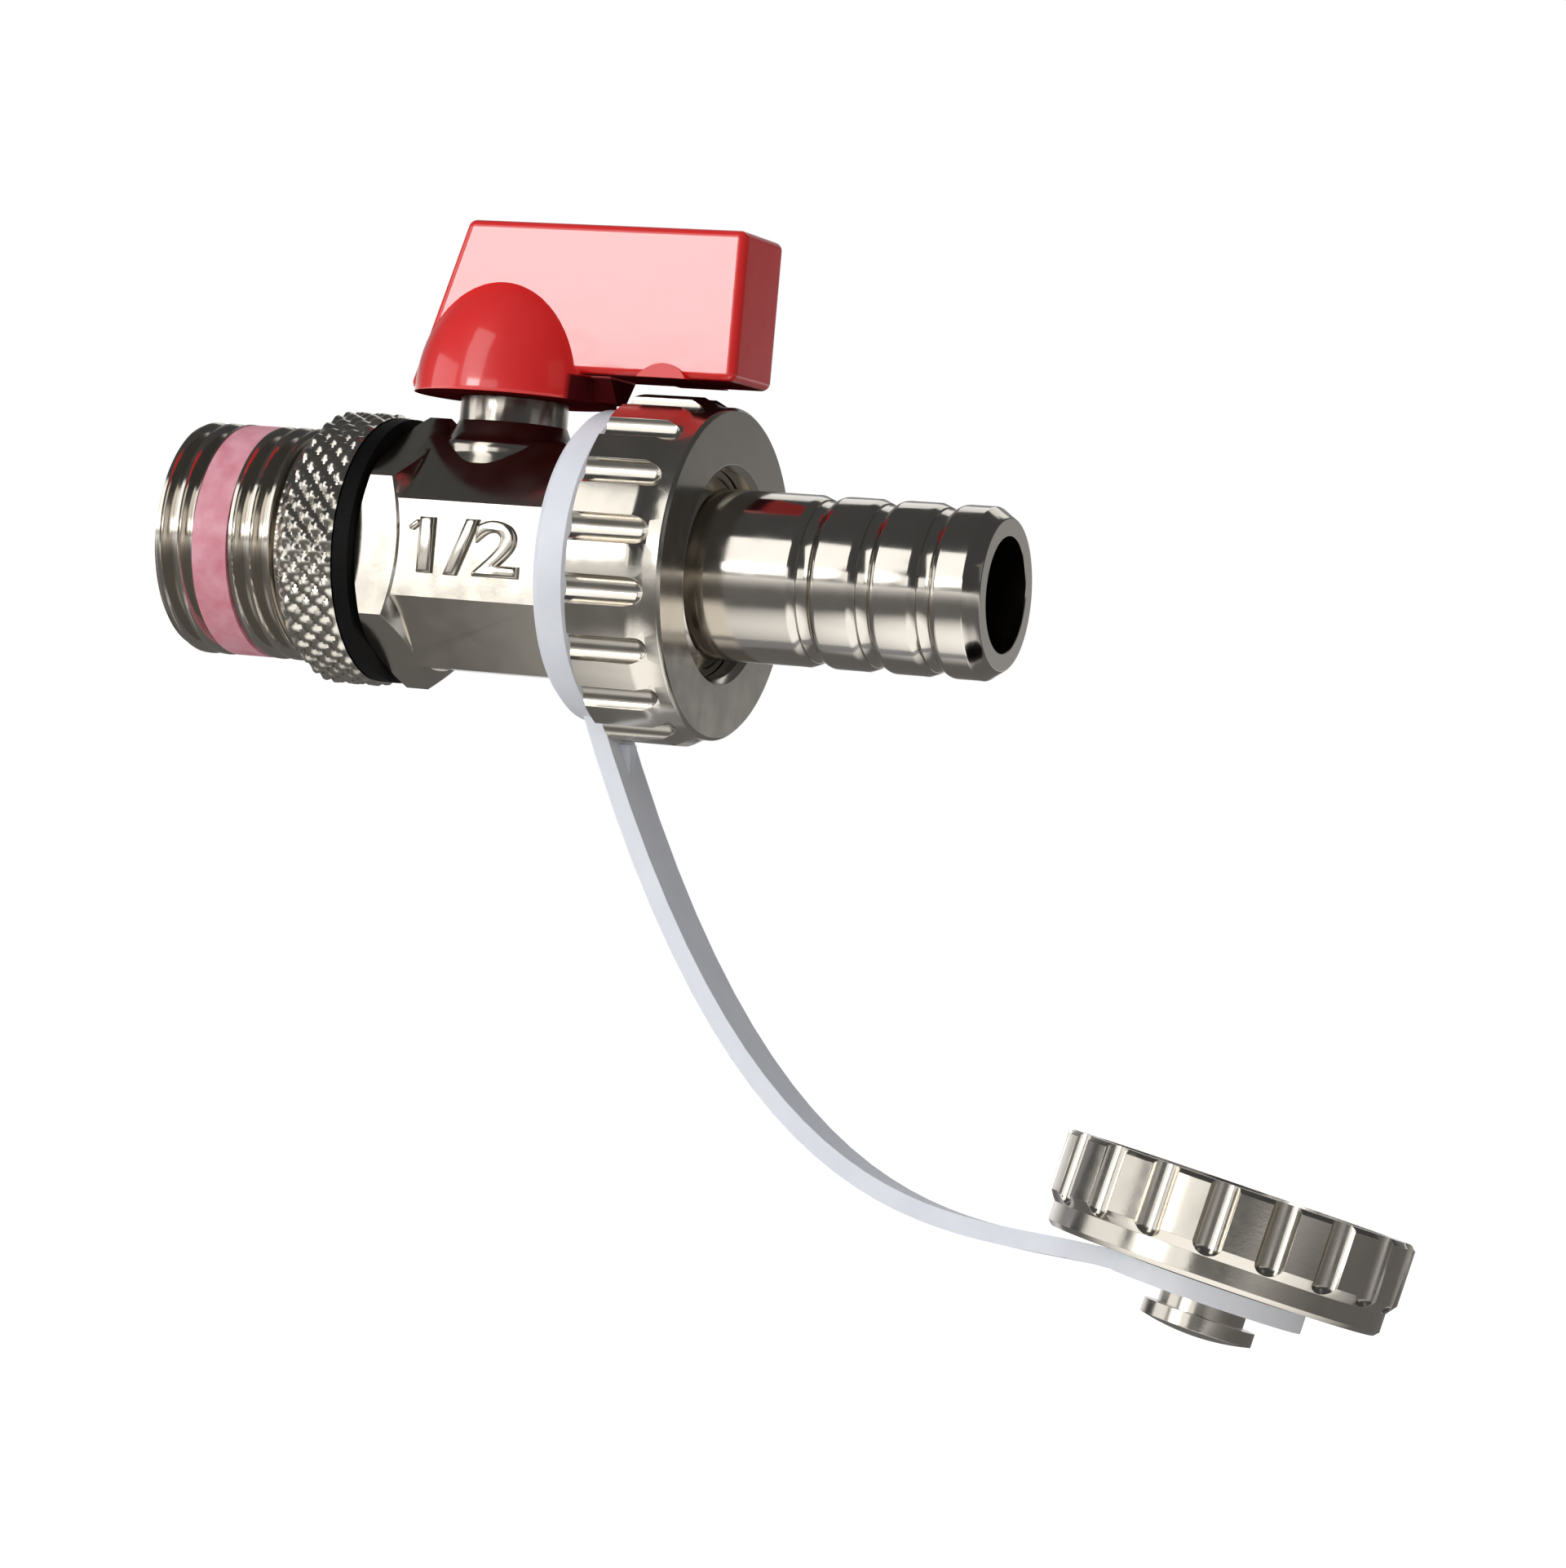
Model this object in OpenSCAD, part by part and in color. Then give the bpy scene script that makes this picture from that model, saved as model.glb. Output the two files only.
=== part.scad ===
// Boiler drain tap: a small ball valve with a sealed inlet thread, a lever handle, a union with a hose tail,
// and a blanking cap on a moulded strap. The X axis runs through the valve from the inlet to the hose tail,
// Z runs up the stem, and the origin is where the inlet thread reaches its full diameter.

/* [Inlet] */
// Diameter over the crests of the inlet thread, G 1/2
inlet_thread_d = 20.955; // [20:0.005:22]
// Depth of the inlet thread from crest to root
inlet_thread_h = 1.162; // [1:0.001:1.3]
// Length of inlet thread left free in front of the locking collar
inlet_free_l = 12.3; // [9:0.1:16]
// Chamfer at the start of the inlet thread
lead_chamfer = 0.5; // [0.2:0.1:0.9]
// Distance from the start of the thread to the groove of the sealing ring
seal_groove_x = 3.85; // [2:0.05:5]
// Width of the groove of the sealing ring
seal_groove_w = 3.5; // [2.5:0.1:4]
// Radial depth of the groove of the sealing ring
seal_groove_h = 1.35; // [1:0.05:1.6]
// Bore of the inlet ahead of the ball's chamber
inlet_bore_d = 12.8; // [11:0.1:14]
// Length of that wider inlet bore
inlet_bore_l = 14; // [8:0.5:16]

/* [Collar and gasket] */
// Length of the knurled locking collar
collar_l = 6.3; // [4:0.05:9]
// Diameter over the knurling of the locking collar
collar_d = 24.4; // [23.5:0.1:27]
// Length of the cone at the front of the collar
collar_nose_l = 1.6; // [0.5:0.1:3]
// Diameter of the collar's front face
collar_nose_d = 21.3; // [21:0.1:22.5]
// Thickness of the flat gasket behind the collar
collar_gasket_w = 1.45; // [1:0.05:3]
// Diameter of that gasket
collar_gasket_d = 23.6; // [22:0.1:24]

/* [Valve body] */
// Hexagon for the spanner, across its flats
hex_af = 21; // [20.6:0.1:23]
// Thickness of the hexagon
hex_w = 4.1; // [3:0.1:7]
// Angle of the chamfers on the hexagon's corners
hex_chamfer_angle = 30; // [20:1:40]
// Octagonal barrel, across its flats
barrel_af = 20.4; // [20:0.1:21.4]
// Length of the octagonal barrel
barrel_l = 14.4; // [13:0.1:20]
// Distance from the hexagon to the stem's axis
stem_from_hex = 5.15; // [5:0.05:8]
// Diameter of the bonnet neck round the stem
neck_d = 9.6; // [9:0.1:11]
// Height of the neck's top above the ball's chamber
neck_h = 5.7; // [5:0.1:8]
// Diameter of the flare where the neck meets the barrel
neck_flare_d = 13; // [11:0.1:14]
// Height of that flare
neck_flare_l = 3.9; // [2:0.1:4.5]
// How far the flare reaches down below the barrel's top flat
neck_flare_sunk = 2.3; // [1.5:0.1:3]
// Bore of the water way
water_bore_d = 10; // [8:0.1:10.4]
// Diameter of the turned neck that carries the strap's ring
strap_seat_d = 20.2; // [19:0.1:20.4]

/* [Ball and seats] */
// Diameter of the ball
ball_d = 16; // [15:0.1:16.2]
// Gap between the ball and the wall of its chamber
chamber_gap = 0.3; // [0.2:0.05:0.6]
// How far the back of each seat ring lies inside the ball's outline
seat_inset = 0.35; // [0.1:0.05:1]
// Width of each seat ring along the water way
seat_w = 2.85; // [2.2:0.05:3.6]
// Length of the threaded ring that holds the outlet seat
retainer_l = 6; // [4:0.1:6.5]
// Width of the spanner slot across that ring
retainer_slot_w = 2; // [1:0.1:3]
// Depth of that slot
retainer_slot_h = 1.2; // [0.6:0.1:2]

/* [Stem] */
// Diameter of the stem
stem_d = 5.9; // [5.4:0.1:6.2]
// Diameter of the flange that keeps the stem in the body
stem_flange_d = 8.6; // [7.6:0.1:8.8]
// Thickness of that flange
stem_flange_w = 1; // [0.8:0.1:1.1]
// Thickness of the sliding washer on the flange
thrust_washer_w = 0.6; // [0.4:0.05:0.7]
// Thickness of the tang that turns the ball
tang_w = 2.6; // [2:0.1:3.2]
// Width of the tang
tang_l = 6; // [5:0.1:7]
// Depth to which the tang's slot is cut into the ball
tang_slot_h = 2.4; // [1.8:0.1:2.6]
// Width across the two flats that drive the handle
stem_flat_w = 4.4; // [4:0.1:5]
// Height of the stem's top above the top of the neck
stem_top_h = 5; // [4:0.1:6]
// Thickness of the stem's sealing rings
oring_w = 1; // [0.8:0.05:1.2]
// Distance from the neck's top to the upper sealing ring
oring_inset = 1.5; // [1:0.1:1.6]
// Distance between the two sealing rings
oring_pitch = 1.5; // [1.4:0.05:1.7]

/* [Handle] */
// Distance from the stem's axis to the far end of the blade
handle_reach = 22.7; // [18:0.1:40]
// Height of the handle from the underside of its hub to its top
handle_h = 15.4; // [13:0.1:18]
// Thickness of the blade
handle_w = 8.8; // [8.2:0.1:10]
// Distance from the stem's axis to the blade's back corner at its foot
handle_back_foot = 8.65; // [7:0.05:10]
// Distance from the stem's axis to the blade's back corner at its top
handle_back_top = 4; // [3.5:0.1:6]
// Height of the blade's underside above the underside of the hub
blade_lift = 2.3; // [1.8:0.1:4]
// Rounding of the blade's edges
handle_edge_r = 0.8; // [0.4:0.1:1.2]
// Diameter of the hub's dome at its foot
hub_d = 18; // [15:0.1:20]
// Height of the dome
hub_h = 11.4; // [9:0.1:12]
// Length of the stop block under the blade
stop_block_l = 2.7; // [2:0.1:4]
// Width of the stop block
stop_block_w = 5.5; // [3:0.1:7]
// Distance from the stem's axis to the stop block
stop_block_from_stem = 7.6; // [7:0.1:9]
// Width of the finger lug on the blade's lower edge
lug_w = 4.6; // [3:0.1:6]
// Distance from the stem's axis to the lug
lug_from_stem = 16; // [14:0.1:16.5]
// Height of the lug
lug_h = 1.3; // [0.8:0.1:2]
// Angle that the handle turns through from open to closed
handle_throw = 90; // [80:1:100]

/* [Handle screw] */
// Diameter of the screw
screw_d = 3; // [2.5:0.1:3.2]
// Diameter of the screw's head
screw_head_d = 6; // [5:0.1:6.4]
// Height of the screw's head
screw_head_h = 2.2; // [1.5:0.1:3]
// Length of the screw under its head
screw_l = 7; // [6:0.1:7.4]
// Width of the driver slot
screw_slot_w = 0.8; // [0.6:0.1:1.2]
// Depth of the driver slot
screw_slot_h = 1; // [0.6:0.1:1.3]
// Thickness of the washer under the head
washer_w = 0.6; // [0.4:0.1:1]
// Diameter of that washer
washer_d = 6.6; // [6.4:0.1:6.8]
// Thickness of the handle's floor that the screw clamps
clamp_floor_w = 1.5; // [1:0.1:2]

/* [Union] */
// Diameter over the crests of the outlet thread, G 3/4
outlet_thread_d = 26.44; // [26:0.01:27]
// Depth of the outlet thread from crest to root
outlet_thread_h = 1.162; // [1:0.001:1.3]
// Length of outlet thread inside the union nut
union_engage_l = 3.6; // [3:0.1:8]
// Thickness of the union's gasket
union_gasket_w = 1.5; // [1:0.1:2.5]
// Thickness of the hose tail's flange
tail_flange_w = 1.6; // [1.2:0.1:3]
// Diameter of the hose tail's flange
tail_flange_d = 23.6; // [21:0.1:24.4]
// Thickness of the nut's end wall
nut_wall_w = 1.8; // [1.2:0.1:3]
// Diameter of the hole in the nut's end wall
nut_hole_d = 18.2; // [16:0.1:19]
// Diameter over the nut's grip ribs
nut_rib_d = 30.5; // [30:0.1:33]
// Diameter of the nut's plain rim
nut_rim_d = 29; // [28:0.1:29.6]
// Length of the plain rim beyond the ribs
nut_rim_l = 1.5; // [1:0.1:3]
// Length of the slope between the ribs and the rim
nut_slope_l = 1.5; // [0.5:0.1:2]
// Diameter of the floor of the grooves between the ribs
grip_floor_d = 28.4; // [27.8:0.1:28.8]
// Number of grip ribs on the nut and on the cap
grip_ribs = 18; // [12:1:20]
// Radius of the grooves between the ribs
grip_groove_r = 1.3; // [1:0.05:1.5]
// Length that a groove's end is set back from the rim's slope
grip_run_out = 0.78; // [0:0.05:1.5]

/* [Hose tail] */
// Length of the hose tail beyond the nut
tail_l = 25.8; // [22:0.1:40]
// Diameter over the hose tail's ridges
tail_d = 14.9; // [13.5:0.1:16]
// Distance between the ridges
ridge_pitch = 5.48; // [4.5:0.01:6]
// Number of grooves between the ridges
ridge_grooves = 3; // [1:1:4]
// Width of each groove
ridge_groove_w = 0.9; // [0.5:0.05:1.2]
// Depth of each groove
ridge_groove_h = 0.5; // [0.3:0.05:0.8]
// Length of the slope behind each ridge
ridge_slope_l = 0.8; // [0.4:0.05:1.2]
// Length of the last ridge, up to the tail's end
tip_ridge_l = 4.64; // [3:0.01:6]
// Length of the taper at the tail's end
tip_taper_l = 1.3; // [0.8:0.1:2]
// Depth of that taper
tip_taper_h = 0.9; // [0.5:0.05:1.2]

/* [Strap] */
// Width of the strap's ring along the valve's axis
strap_ring_w = 3.65; // [2.5:0.05:5]
// Diameter over the strap's ring
strap_ring_d = 27.4; // [25:0.1:28.5]
// Width of the strap's band
strap_w = 6.5; // [4:0.1:8]
// Thickness of the strap's band
strap_t = 1.6; // [1:0.1:2.2]
// Distance from the ring's front face to the middle of the band's root
strap_root_in = 1.55; // [1.2:0.05:1.6]
// How strongly the band keeps to its root's direction where it leaves the ring
strap_root_pull = 53.3; // [40:0.1:60]
// Angle between the band's root and upright
strap_root_angle = 22.9; // [20:0.1:24]
// How strongly the band keeps to the eye's direction where it runs into the eye
strap_end_pull = 14.5; // [8:0.1:25]
// Diameter over the strap's eye
eye_d = 16.6; // [13:0.1:18]
// Length of the small rib on the band, just below the nut
root_rib_l = 3.2; // [2:0.1:5]
// How far that rib stands out at its top
root_rib_h = 1.1; // [0.6:0.1:1.6]
// Thickness of that rib
root_rib_w = 1.4; // [1:0.1:2]

/* [Blanking cap] */
// Distance from the valve's axis down to the centre of the cap's closed face
cap_drop = 55.4; // [45:0.1:60]
// Distance from the origin along X to the centre of the cap's closed face
cap_x = 100.3; // [95:0.1:105]
// Tilt of the cap's axis from upright, towards the hose tail's end
cap_tilt = 11.8; // [0:0.1:20]
// Lean of the cap's axis towards the back
cap_lean = 7.8; // [0:0.1:12]
// Height of the cap
cap_h = 8.1; // [7:0.1:12]
// Diameter over the cap's grip ribs
cap_rib_d = 30.2; // [30:0.1:32]
// Diameter of the plain band at the closed face
cap_band_d = 28.8; // [28:0.1:29.4]
// Length of the plain band
cap_band_l = 2; // [1:0.1:3]
// Length of the slope between the band and the ribs
cap_slope_l = 0.9; // [0.4:0.1:1.5]
// Thickness of the cap's closed end
cap_floor_w = 2; // [1.4:0.1:3]
// Thickness of the gasket inside the cap
cap_gasket_w = 1.5; // [1:0.1:2]
// Diameter of the stud's neck, which the strap's eye turns on
stud_d = 7.4; // [6:0.1:8]
// Length of the stud's neck
stud_l = 3.1; // [2.6:0.1:4]
// Diameter of the stud's head
stud_head_d = 9.6; // [9:0.1:11]
// Thickness of the stud's head at its edge
stud_head_w = 1.2; // [0.8:0.1:2]
// Height of the dome on the stud's head
stud_dome_h = 0.6; // [0.3:0.1:1]

/* [Turn stop] */
// Height of the raised sector on the neck
stop_h = 1.2; // [0.8:0.1:1.6]
// How far the sector starts outside the stem's bore
stop_inset = 0.3; // [0.2:0.1:0.6]
// Angle at which the sector starts, counted from the outlet
stop_from = 100; // [90:1:110]
// Angle that the sector covers
stop_angle = 70; // [50:1:80]
// Angle by which the hub's recess is wider than the handle's travel
stop_play = 1; // [0.5:0.5:3]

/* [Fits] */
// Radial clearance of parts that turn or screw together
turn_gap = 0.05; // [0.03:0.01:0.1]
// Gap between flat faces that can slide on each other
face_gap = 0.1; // [0.05:0.01:0.15]
// Gap round loose parts, such as the strap's ring and eye
loose_gap = 0.25; // [0.15:0.05:0.3]

/* [Hidden] */
$fn = 96;
// A small length by which a cut runs past the face that it opens
cut_past = 1;

// Places along X, each worked out from the one before it
collar_x = inlet_free_l;
collar_gasket_x = collar_x + collar_l + face_gap;
hex_x = collar_gasket_x + collar_gasket_w;
barrel_x = hex_x + hex_w;
barrel_end_x = barrel_x + barrel_l;
strap_ring_x = barrel_end_x + face_gap;
nut_x = strap_ring_x + strap_ring_w + face_gap;
spigot_end_x = nut_x + union_engage_l;
tail_flange_x = spigot_end_x + union_gasket_w + face_gap;
nut_wall_x = tail_flange_x + tail_flange_w + face_gap;
nut_end_x = nut_wall_x + nut_wall_w;
tail_end_x = nut_end_x + tail_l;
stem_x = barrel_x + stem_from_hex;

// Radii of the two threads and of what runs on them: engaged threads are drawn at their pitch radius
inlet_r = inlet_thread_d / 2;
inlet_pitch_r = inlet_r - inlet_thread_h / 2;
inlet_undercut_r = inlet_r - inlet_thread_h;
outlet_pitch_r = (outlet_thread_d - outlet_thread_h) / 2;
outlet_bore_r = outlet_pitch_r + turn_gap;
gasket_r = outlet_bore_r - loose_gap;
water_r = water_bore_d / 2;
chamber_r = ball_d / 2 + chamber_gap;
insert_r = chamber_r - turn_gap;
seat_reach = ball_d / 2 - seat_inset;

// Heights up the stem
neck_top_z = chamber_r + neck_h;
flange_top_z = chamber_r + face_gap + stem_flange_w;
shoulder_z = flange_top_z + thrust_washer_w + face_gap;
stem_top_z = neck_top_z + stem_top_h;
hub_z = neck_top_z + face_gap;
handle_top_z = hub_z + handle_h;
blade_z = hub_z + blade_lift;
clamp_z = stem_top_z + face_gap;
clamp_top_z = clamp_z + clamp_floor_w;
screw_head_z = clamp_top_z + washer_w;
oring_floor_r = stem_d / 2 - oring_w - turn_gap;
oring_upper_z = neck_top_z - oring_inset;
oring_lower_z = oring_upper_z - oring_pitch;

// Stop between the neck and the hub: a raised sector on the neck travels in a recess of the hub
stop_inner_r = stem_d / 2 + 2 * turn_gap + stop_inset;
stop_outer_r = neck_d / 2 - face_gap;

// Places of the cap: its closed face, its stud and the middle of the strap's eye
cap_foot = [cap_x, 0, -cap_drop];
eye_below = loose_gap + strap_t / 2;
cap_axis = [cos(cap_lean) * sin(cap_tilt), sin(cap_lean), cos(cap_lean) * cos(cap_tilt)];
eye_centre = cap_foot - eye_below * cap_axis;
stud_hole_r = stud_d / 2 + loose_gap;

// The strap's middle line in the XZ plane, a curve pulled out of the ring and into the eye
strap_hole_r = strap_seat_d / 2 + loose_gap;
strap_root = [strap_ring_x + strap_root_in, -(strap_hole_r + strap_ring_d / 2) / 2];
eye_out = [-cos(cap_tilt), sin(cap_tilt)];
strap_end = [eye_centre.x, eye_centre.z] + (eye_d / 2 + stud_hole_r) / 2 * eye_out;
strap_steps = 28;

function bezier(a, b, c, d, t) =
    pow(1 - t, 3) * a + 3 * pow(1 - t, 2) * t * b + 3 * (1 - t) * t * t * c + pow(t, 3) * d;
function strap_point(t) =
    bezier(strap_root, strap_root + strap_root_pull * [sin(strap_root_angle), -cos(strap_root_angle)],
           strap_end + strap_end_pull * eye_out, strap_end, t);
function strap_normal(t) =
    let (step = 0.001, ahead = strap_point(t + step) - strap_point(t - step))
    [-ahead.y, ahead.x] / norm(ahead);
function strap_x(z) = strap_root.x + (strap_root.y - z) * tan(strap_root_angle);
function strap_side(offset) =
    [for (i = [0 : strap_steps]) let (t = i / strap_steps) strap_point(t) + offset * strap_normal(t)];
function reversed(points) = [for (i = [len(points) - 1 : -1 : 0]) points[i]];
function arc_points(centre, r, from, to, steps) =
    [for (i = [0 : steps]) let (a = from + (to - from) * i / steps) centre + r * [cos(a), sin(a)]];

// Puts a shape that stands on Z along the valve's X axis, starting at x
module along_x(x) {
    translate([x, 0, 0]) rotate([0, 90, 0]) children();
}

// A solid turned about the valve's axis, from points of radius and place along X
module turned(points) {
    rotate([0, 90, 0]) rotate_extrude() polygon(points);
}

// A solid turned about the stem's axis, from points of radius and height
module turned_on_stem(points) {
    translate([stem_x, 0, 0]) rotate_extrude() polygon(points);
}

// A flat ring along the valve's axis
module ring_x(x, length, outer_r, inner_r) {
    turned([[inner_r, x], [outer_r, x], [outer_r, x + length], [inner_r, x + length]]);
}

// A wedge of a disc about Z, for cutting sectors, up to a half circle
module wedge(r, from, angle, height) {
    linear_extrude(height)
        polygon(concat([[0, 0]], arc_points([0, 0], r, from, from + angle, 8)));
}

// A round-bottomed groove that ends in a ball, cut from below z = 0 up to length
module grip_groove(length) {
    translate([0, 0, -cut_past]) cylinder(h = length + cut_past, r = grip_groove_r, $fn = 32);
    translate([0, 0, length]) sphere(r = grip_groove_r, $fn = 32);
}

// The ring of grooves between the grip ribs, open at z = 0
module grip_grooves(length) {
    for (i = [0 : grip_ribs - 1])
        rotate(i * 360 / grip_ribs)
            translate([grip_floor_d / 2 + grip_groove_r, 0, 0]) grip_groove(length);
}

// Valve body: inlet thread, hexagon, octagonal barrel, bonnet neck and outlet spigot in one piece
module body_hexagon() {
    corner_r = hex_af / 2 / cos(30);
    face_r = hex_af / 2 - face_gap;
    chamfer_l = (corner_r - face_r) * tan(hex_chamfer_angle);
    intersection() {
        along_x(hex_x) cylinder(h = hex_w, r = corner_r, $fn = 6);
        turned([[0, hex_x], [face_r, hex_x], [corner_r, hex_x + chamfer_l],
                [corner_r, barrel_x - chamfer_l], [face_r, barrel_x], [0, barrel_x]]);
    }
}

module body_outside() {
    seal_floor_r = inlet_r - seal_groove_h;
    turned([[0, -lead_chamfer], [inlet_r - lead_chamfer, -lead_chamfer], [inlet_r, 0], [inlet_r, seal_groove_x],
            [seal_floor_r, seal_groove_x], [seal_floor_r, seal_groove_x + seal_groove_w],
            [inlet_r, seal_groove_x + seal_groove_w], [inlet_r, collar_x - face_gap],
            [inlet_pitch_r, collar_x - face_gap], [inlet_pitch_r, collar_gasket_x - face_gap],
            [inlet_undercut_r, collar_gasket_x - face_gap], [inlet_undercut_r, hex_x + cut_past],
            [0, hex_x + cut_past]]);
    body_hexagon();
    along_x(barrel_x - cut_past)
        rotate(22.5) cylinder(h = barrel_l + cut_past, r = barrel_af / 2 / cos(22.5), $fn = 8);
    turned([[0, barrel_end_x - cut_past], [strap_seat_d / 2, barrel_end_x - cut_past],
            [strap_seat_d / 2, nut_x], [outlet_pitch_r - outlet_thread_h / 2, nut_x],
            [outlet_pitch_r, nut_x + outlet_thread_h / 2], [outlet_pitch_r, spigot_end_x], [0, spigot_end_x]]);
    flare_top_z = barrel_af / 2 - neck_flare_sunk + neck_flare_l;
    turned_on_stem([[0, 0], [neck_flare_d / 2, 0], [neck_flare_d / 2, flare_top_z - neck_flare_l],
                    [neck_d / 2, flare_top_z], [neck_d / 2, neck_top_z], [0, neck_top_z]]);
    intersection() {
        turned_on_stem([[0, neck_top_z - cut_past], [stop_outer_r, neck_top_z - cut_past],
                        [stop_outer_r, neck_top_z + stop_h], [0, neck_top_z + stop_h]]);
        translate([stem_x, 0, neck_top_z - cut_past])
            wedge(neck_d, stop_from, stop_angle, stop_h + 2 * cut_past);
    }
}

module body() {
    color("lightgray") difference() {
        body_outside();
        turned([[0, -lead_chamfer - cut_past], [inlet_bore_d / 2, -lead_chamfer - cut_past],
                [inlet_bore_d / 2, inlet_bore_l], [water_r, inlet_bore_l + inlet_bore_d / 2 - water_r],
                [water_r, stem_x - seat_reach - cut_past], [0, stem_x - seat_reach - cut_past]]);
        along_x(stem_x - seat_reach - 2 * cut_past) cylinder(h = 3 * cut_past, r = water_r);
        along_x(stem_x - seat_reach) cylinder(h = spigot_end_x + cut_past - stem_x + seat_reach, r = chamber_r);
        translate([stem_x, 0, 0]) cylinder(h = shoulder_z, r = stem_flange_d / 2 + turn_gap);
        translate([stem_x, 0, 0]) cylinder(h = neck_top_z + stop_h + cut_past, r = stem_d / 2 + turn_gap);
        translate([stem_x, 0, neck_top_z])
            cylinder(h = stop_h + cut_past, r = stop_inner_r);
    }
}

// Ball with its water way along X and the slot for the stem's tang across it
module ball() {
    slot_z = ball_d / 2 - tang_slot_h;
    color("silver") translate([stem_x, 0, 0]) difference() {
        sphere(d = ball_d);
        rotate([0, 90, 0]) cylinder(h = ball_d + cut_past, r = water_r, center = true);
        translate([-tang_w / 2 - turn_gap, -ball_d / 2, slot_z])
            cube([tang_w + 2 * turn_gap, ball_d, tang_slot_h + cut_past]);
    }
}

// A seat ring on the ball's outlet side; the inlet seat is its mirror image
module seat_ring() {
    color("white") difference() {
        turned([[water_r, seat_reach - seat_w], [insert_r, seat_reach - seat_w],
                [insert_r, seat_reach], [water_r, seat_reach]]);
        sphere(r = ball_d / 2 + turn_gap);
    }
}

module seat_outlet() {
    translate([stem_x, 0, 0]) seat_ring();
}

module seat_inlet() {
    translate([stem_x, 0, 0]) mirror([1, 0, 0]) seat_ring();
}

// Threaded ring that holds the outlet seat, with a slot for its spanner
module seat_retainer() {
    retainer_x = stem_x + seat_reach;
    color("goldenrod") difference() {
        ring_x(retainer_x, retainer_l, insert_r, water_r);
        translate([retainer_x + retainer_l - retainer_slot_h, -chamber_r - cut_past, -retainer_slot_w / 2])
            cube([retainer_slot_h + cut_past, 2 * (chamber_r + cut_past), retainer_slot_w]);
    }
}

// Stem with its tang, its flange, two ring grooves, two flats for the handle and the screw's hole
module stem_groove(z) {
    groove_w = oring_w + 4 * turn_gap;
    turned_on_stem([[oring_floor_r, z - groove_w / 2], [stem_d, z - groove_w / 2],
                    [stem_d, z + groove_w / 2], [oring_floor_r, z + groove_w / 2]]);
}

module stem() {
    tang_z = ball_d / 2 - tang_slot_h + face_gap;
    flange_z = chamber_r + face_gap;
    color("silver") difference() {
        union() {
            turned_on_stem([[0, flange_z], [stem_flange_d / 2, flange_z], [stem_flange_d / 2, flange_top_z],
                            [stem_d / 2, flange_top_z], [stem_d / 2, stem_top_z], [0, stem_top_z]]);
            translate([stem_x - tang_w / 2, -tang_l / 2, tang_z])
                cube([tang_w, tang_l, flange_z + stem_flange_w / 2 - tang_z]);
        }
        stem_groove(oring_upper_z);
        stem_groove(oring_lower_z);
        for (side = [-1, 1])
            translate([stem_x - stem_d, side * (stem_flat_w + stem_d) / 2 - stem_d / 2, neck_top_z])
                cube([2 * stem_d, stem_d, stem_top_h + cut_past]);
        translate([stem_x, 0, screw_head_z - screw_l - face_gap])
            cylinder(h = screw_l, d = screw_d + 2 * turn_gap);
    }
}

// A round-section sealing ring about the stem
module oring(z) {
    color("black") translate([stem_x, 0, z])
        rotate_extrude() translate([oring_floor_r + turn_gap + oring_w / 2, 0]) circle(d = oring_w, $fn = 32);
}

module stem_oring_lower() {
    oring(oring_lower_z);
}

module stem_oring_upper() {
    oring(oring_upper_z);
}

module stem_thrust_washer() {
    color("white") turned_on_stem([[stem_d / 2 + turn_gap, flange_top_z], [stem_flange_d / 2, flange_top_z],
                                   [stem_flange_d / 2, flange_top_z + thrust_washer_w],
                                   [stem_d / 2 + turn_gap, flange_top_z + thrust_washer_w]]);
}

// Lever handle: a thick blade with rounded edges and a domed hub that sits on the stem's flats
module rounded_plate(corners) {
    hull()
        for (corner = corners, side = [-1, 1])
            translate([stem_x + corner.x, side * (handle_w / 2 - handle_edge_r), corner.y])
                sphere(r = handle_edge_r, $fn = 20);
}

module handle_blade() {
    low = hub_z + handle_edge_r;
    high = handle_top_z - handle_edge_r;
    slope = (handle_back_foot - handle_back_top) / handle_h;
    // Radius centres keep the sloping back edge on its line through the two back corners
    back = handle_edge_r * (sqrt(1 + slope * slope) - slope);
    foot = -handle_back_foot + back + 2 * slope * handle_edge_r;
    top = -handle_back_top + back;
    rounded_plate([[foot, low], [top, high], [hub_d / 4, high], [hub_d / 4, low]]);
    rounded_plate([[0, blade_z + handle_edge_r], [0, high], [handle_reach - handle_edge_r, high],
                   [handle_reach - handle_edge_r, blade_z + handle_edge_r]]);
}

module handle_dome() {
    dome_steps = 20;
    turned_on_stem(concat([[0, hub_z]],
                          [for (i = [0 : dome_steps]) let (a = 90 * i / dome_steps)
                              [hub_d / 2 * cos(a), hub_z + hub_h * sin(a)]]));
}

module handle_lug() {
    lug_r = (lug_w * lug_w / 4 + lug_h * lug_h) / (2 * lug_h);
    lug_out = 0.5;
    intersection() {
        translate([stem_x + lug_from_stem, 0, blade_z + lug_h - lug_r])
            rotate([90, 0, 0]) cylinder(h = handle_w + 2 * lug_out, r = lug_r, center = true);
        translate([stem_x + lug_from_stem - lug_w / 2, -handle_w, blade_z])
            cube([lug_w, 2 * handle_w, handle_h]);
    }
}

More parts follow.
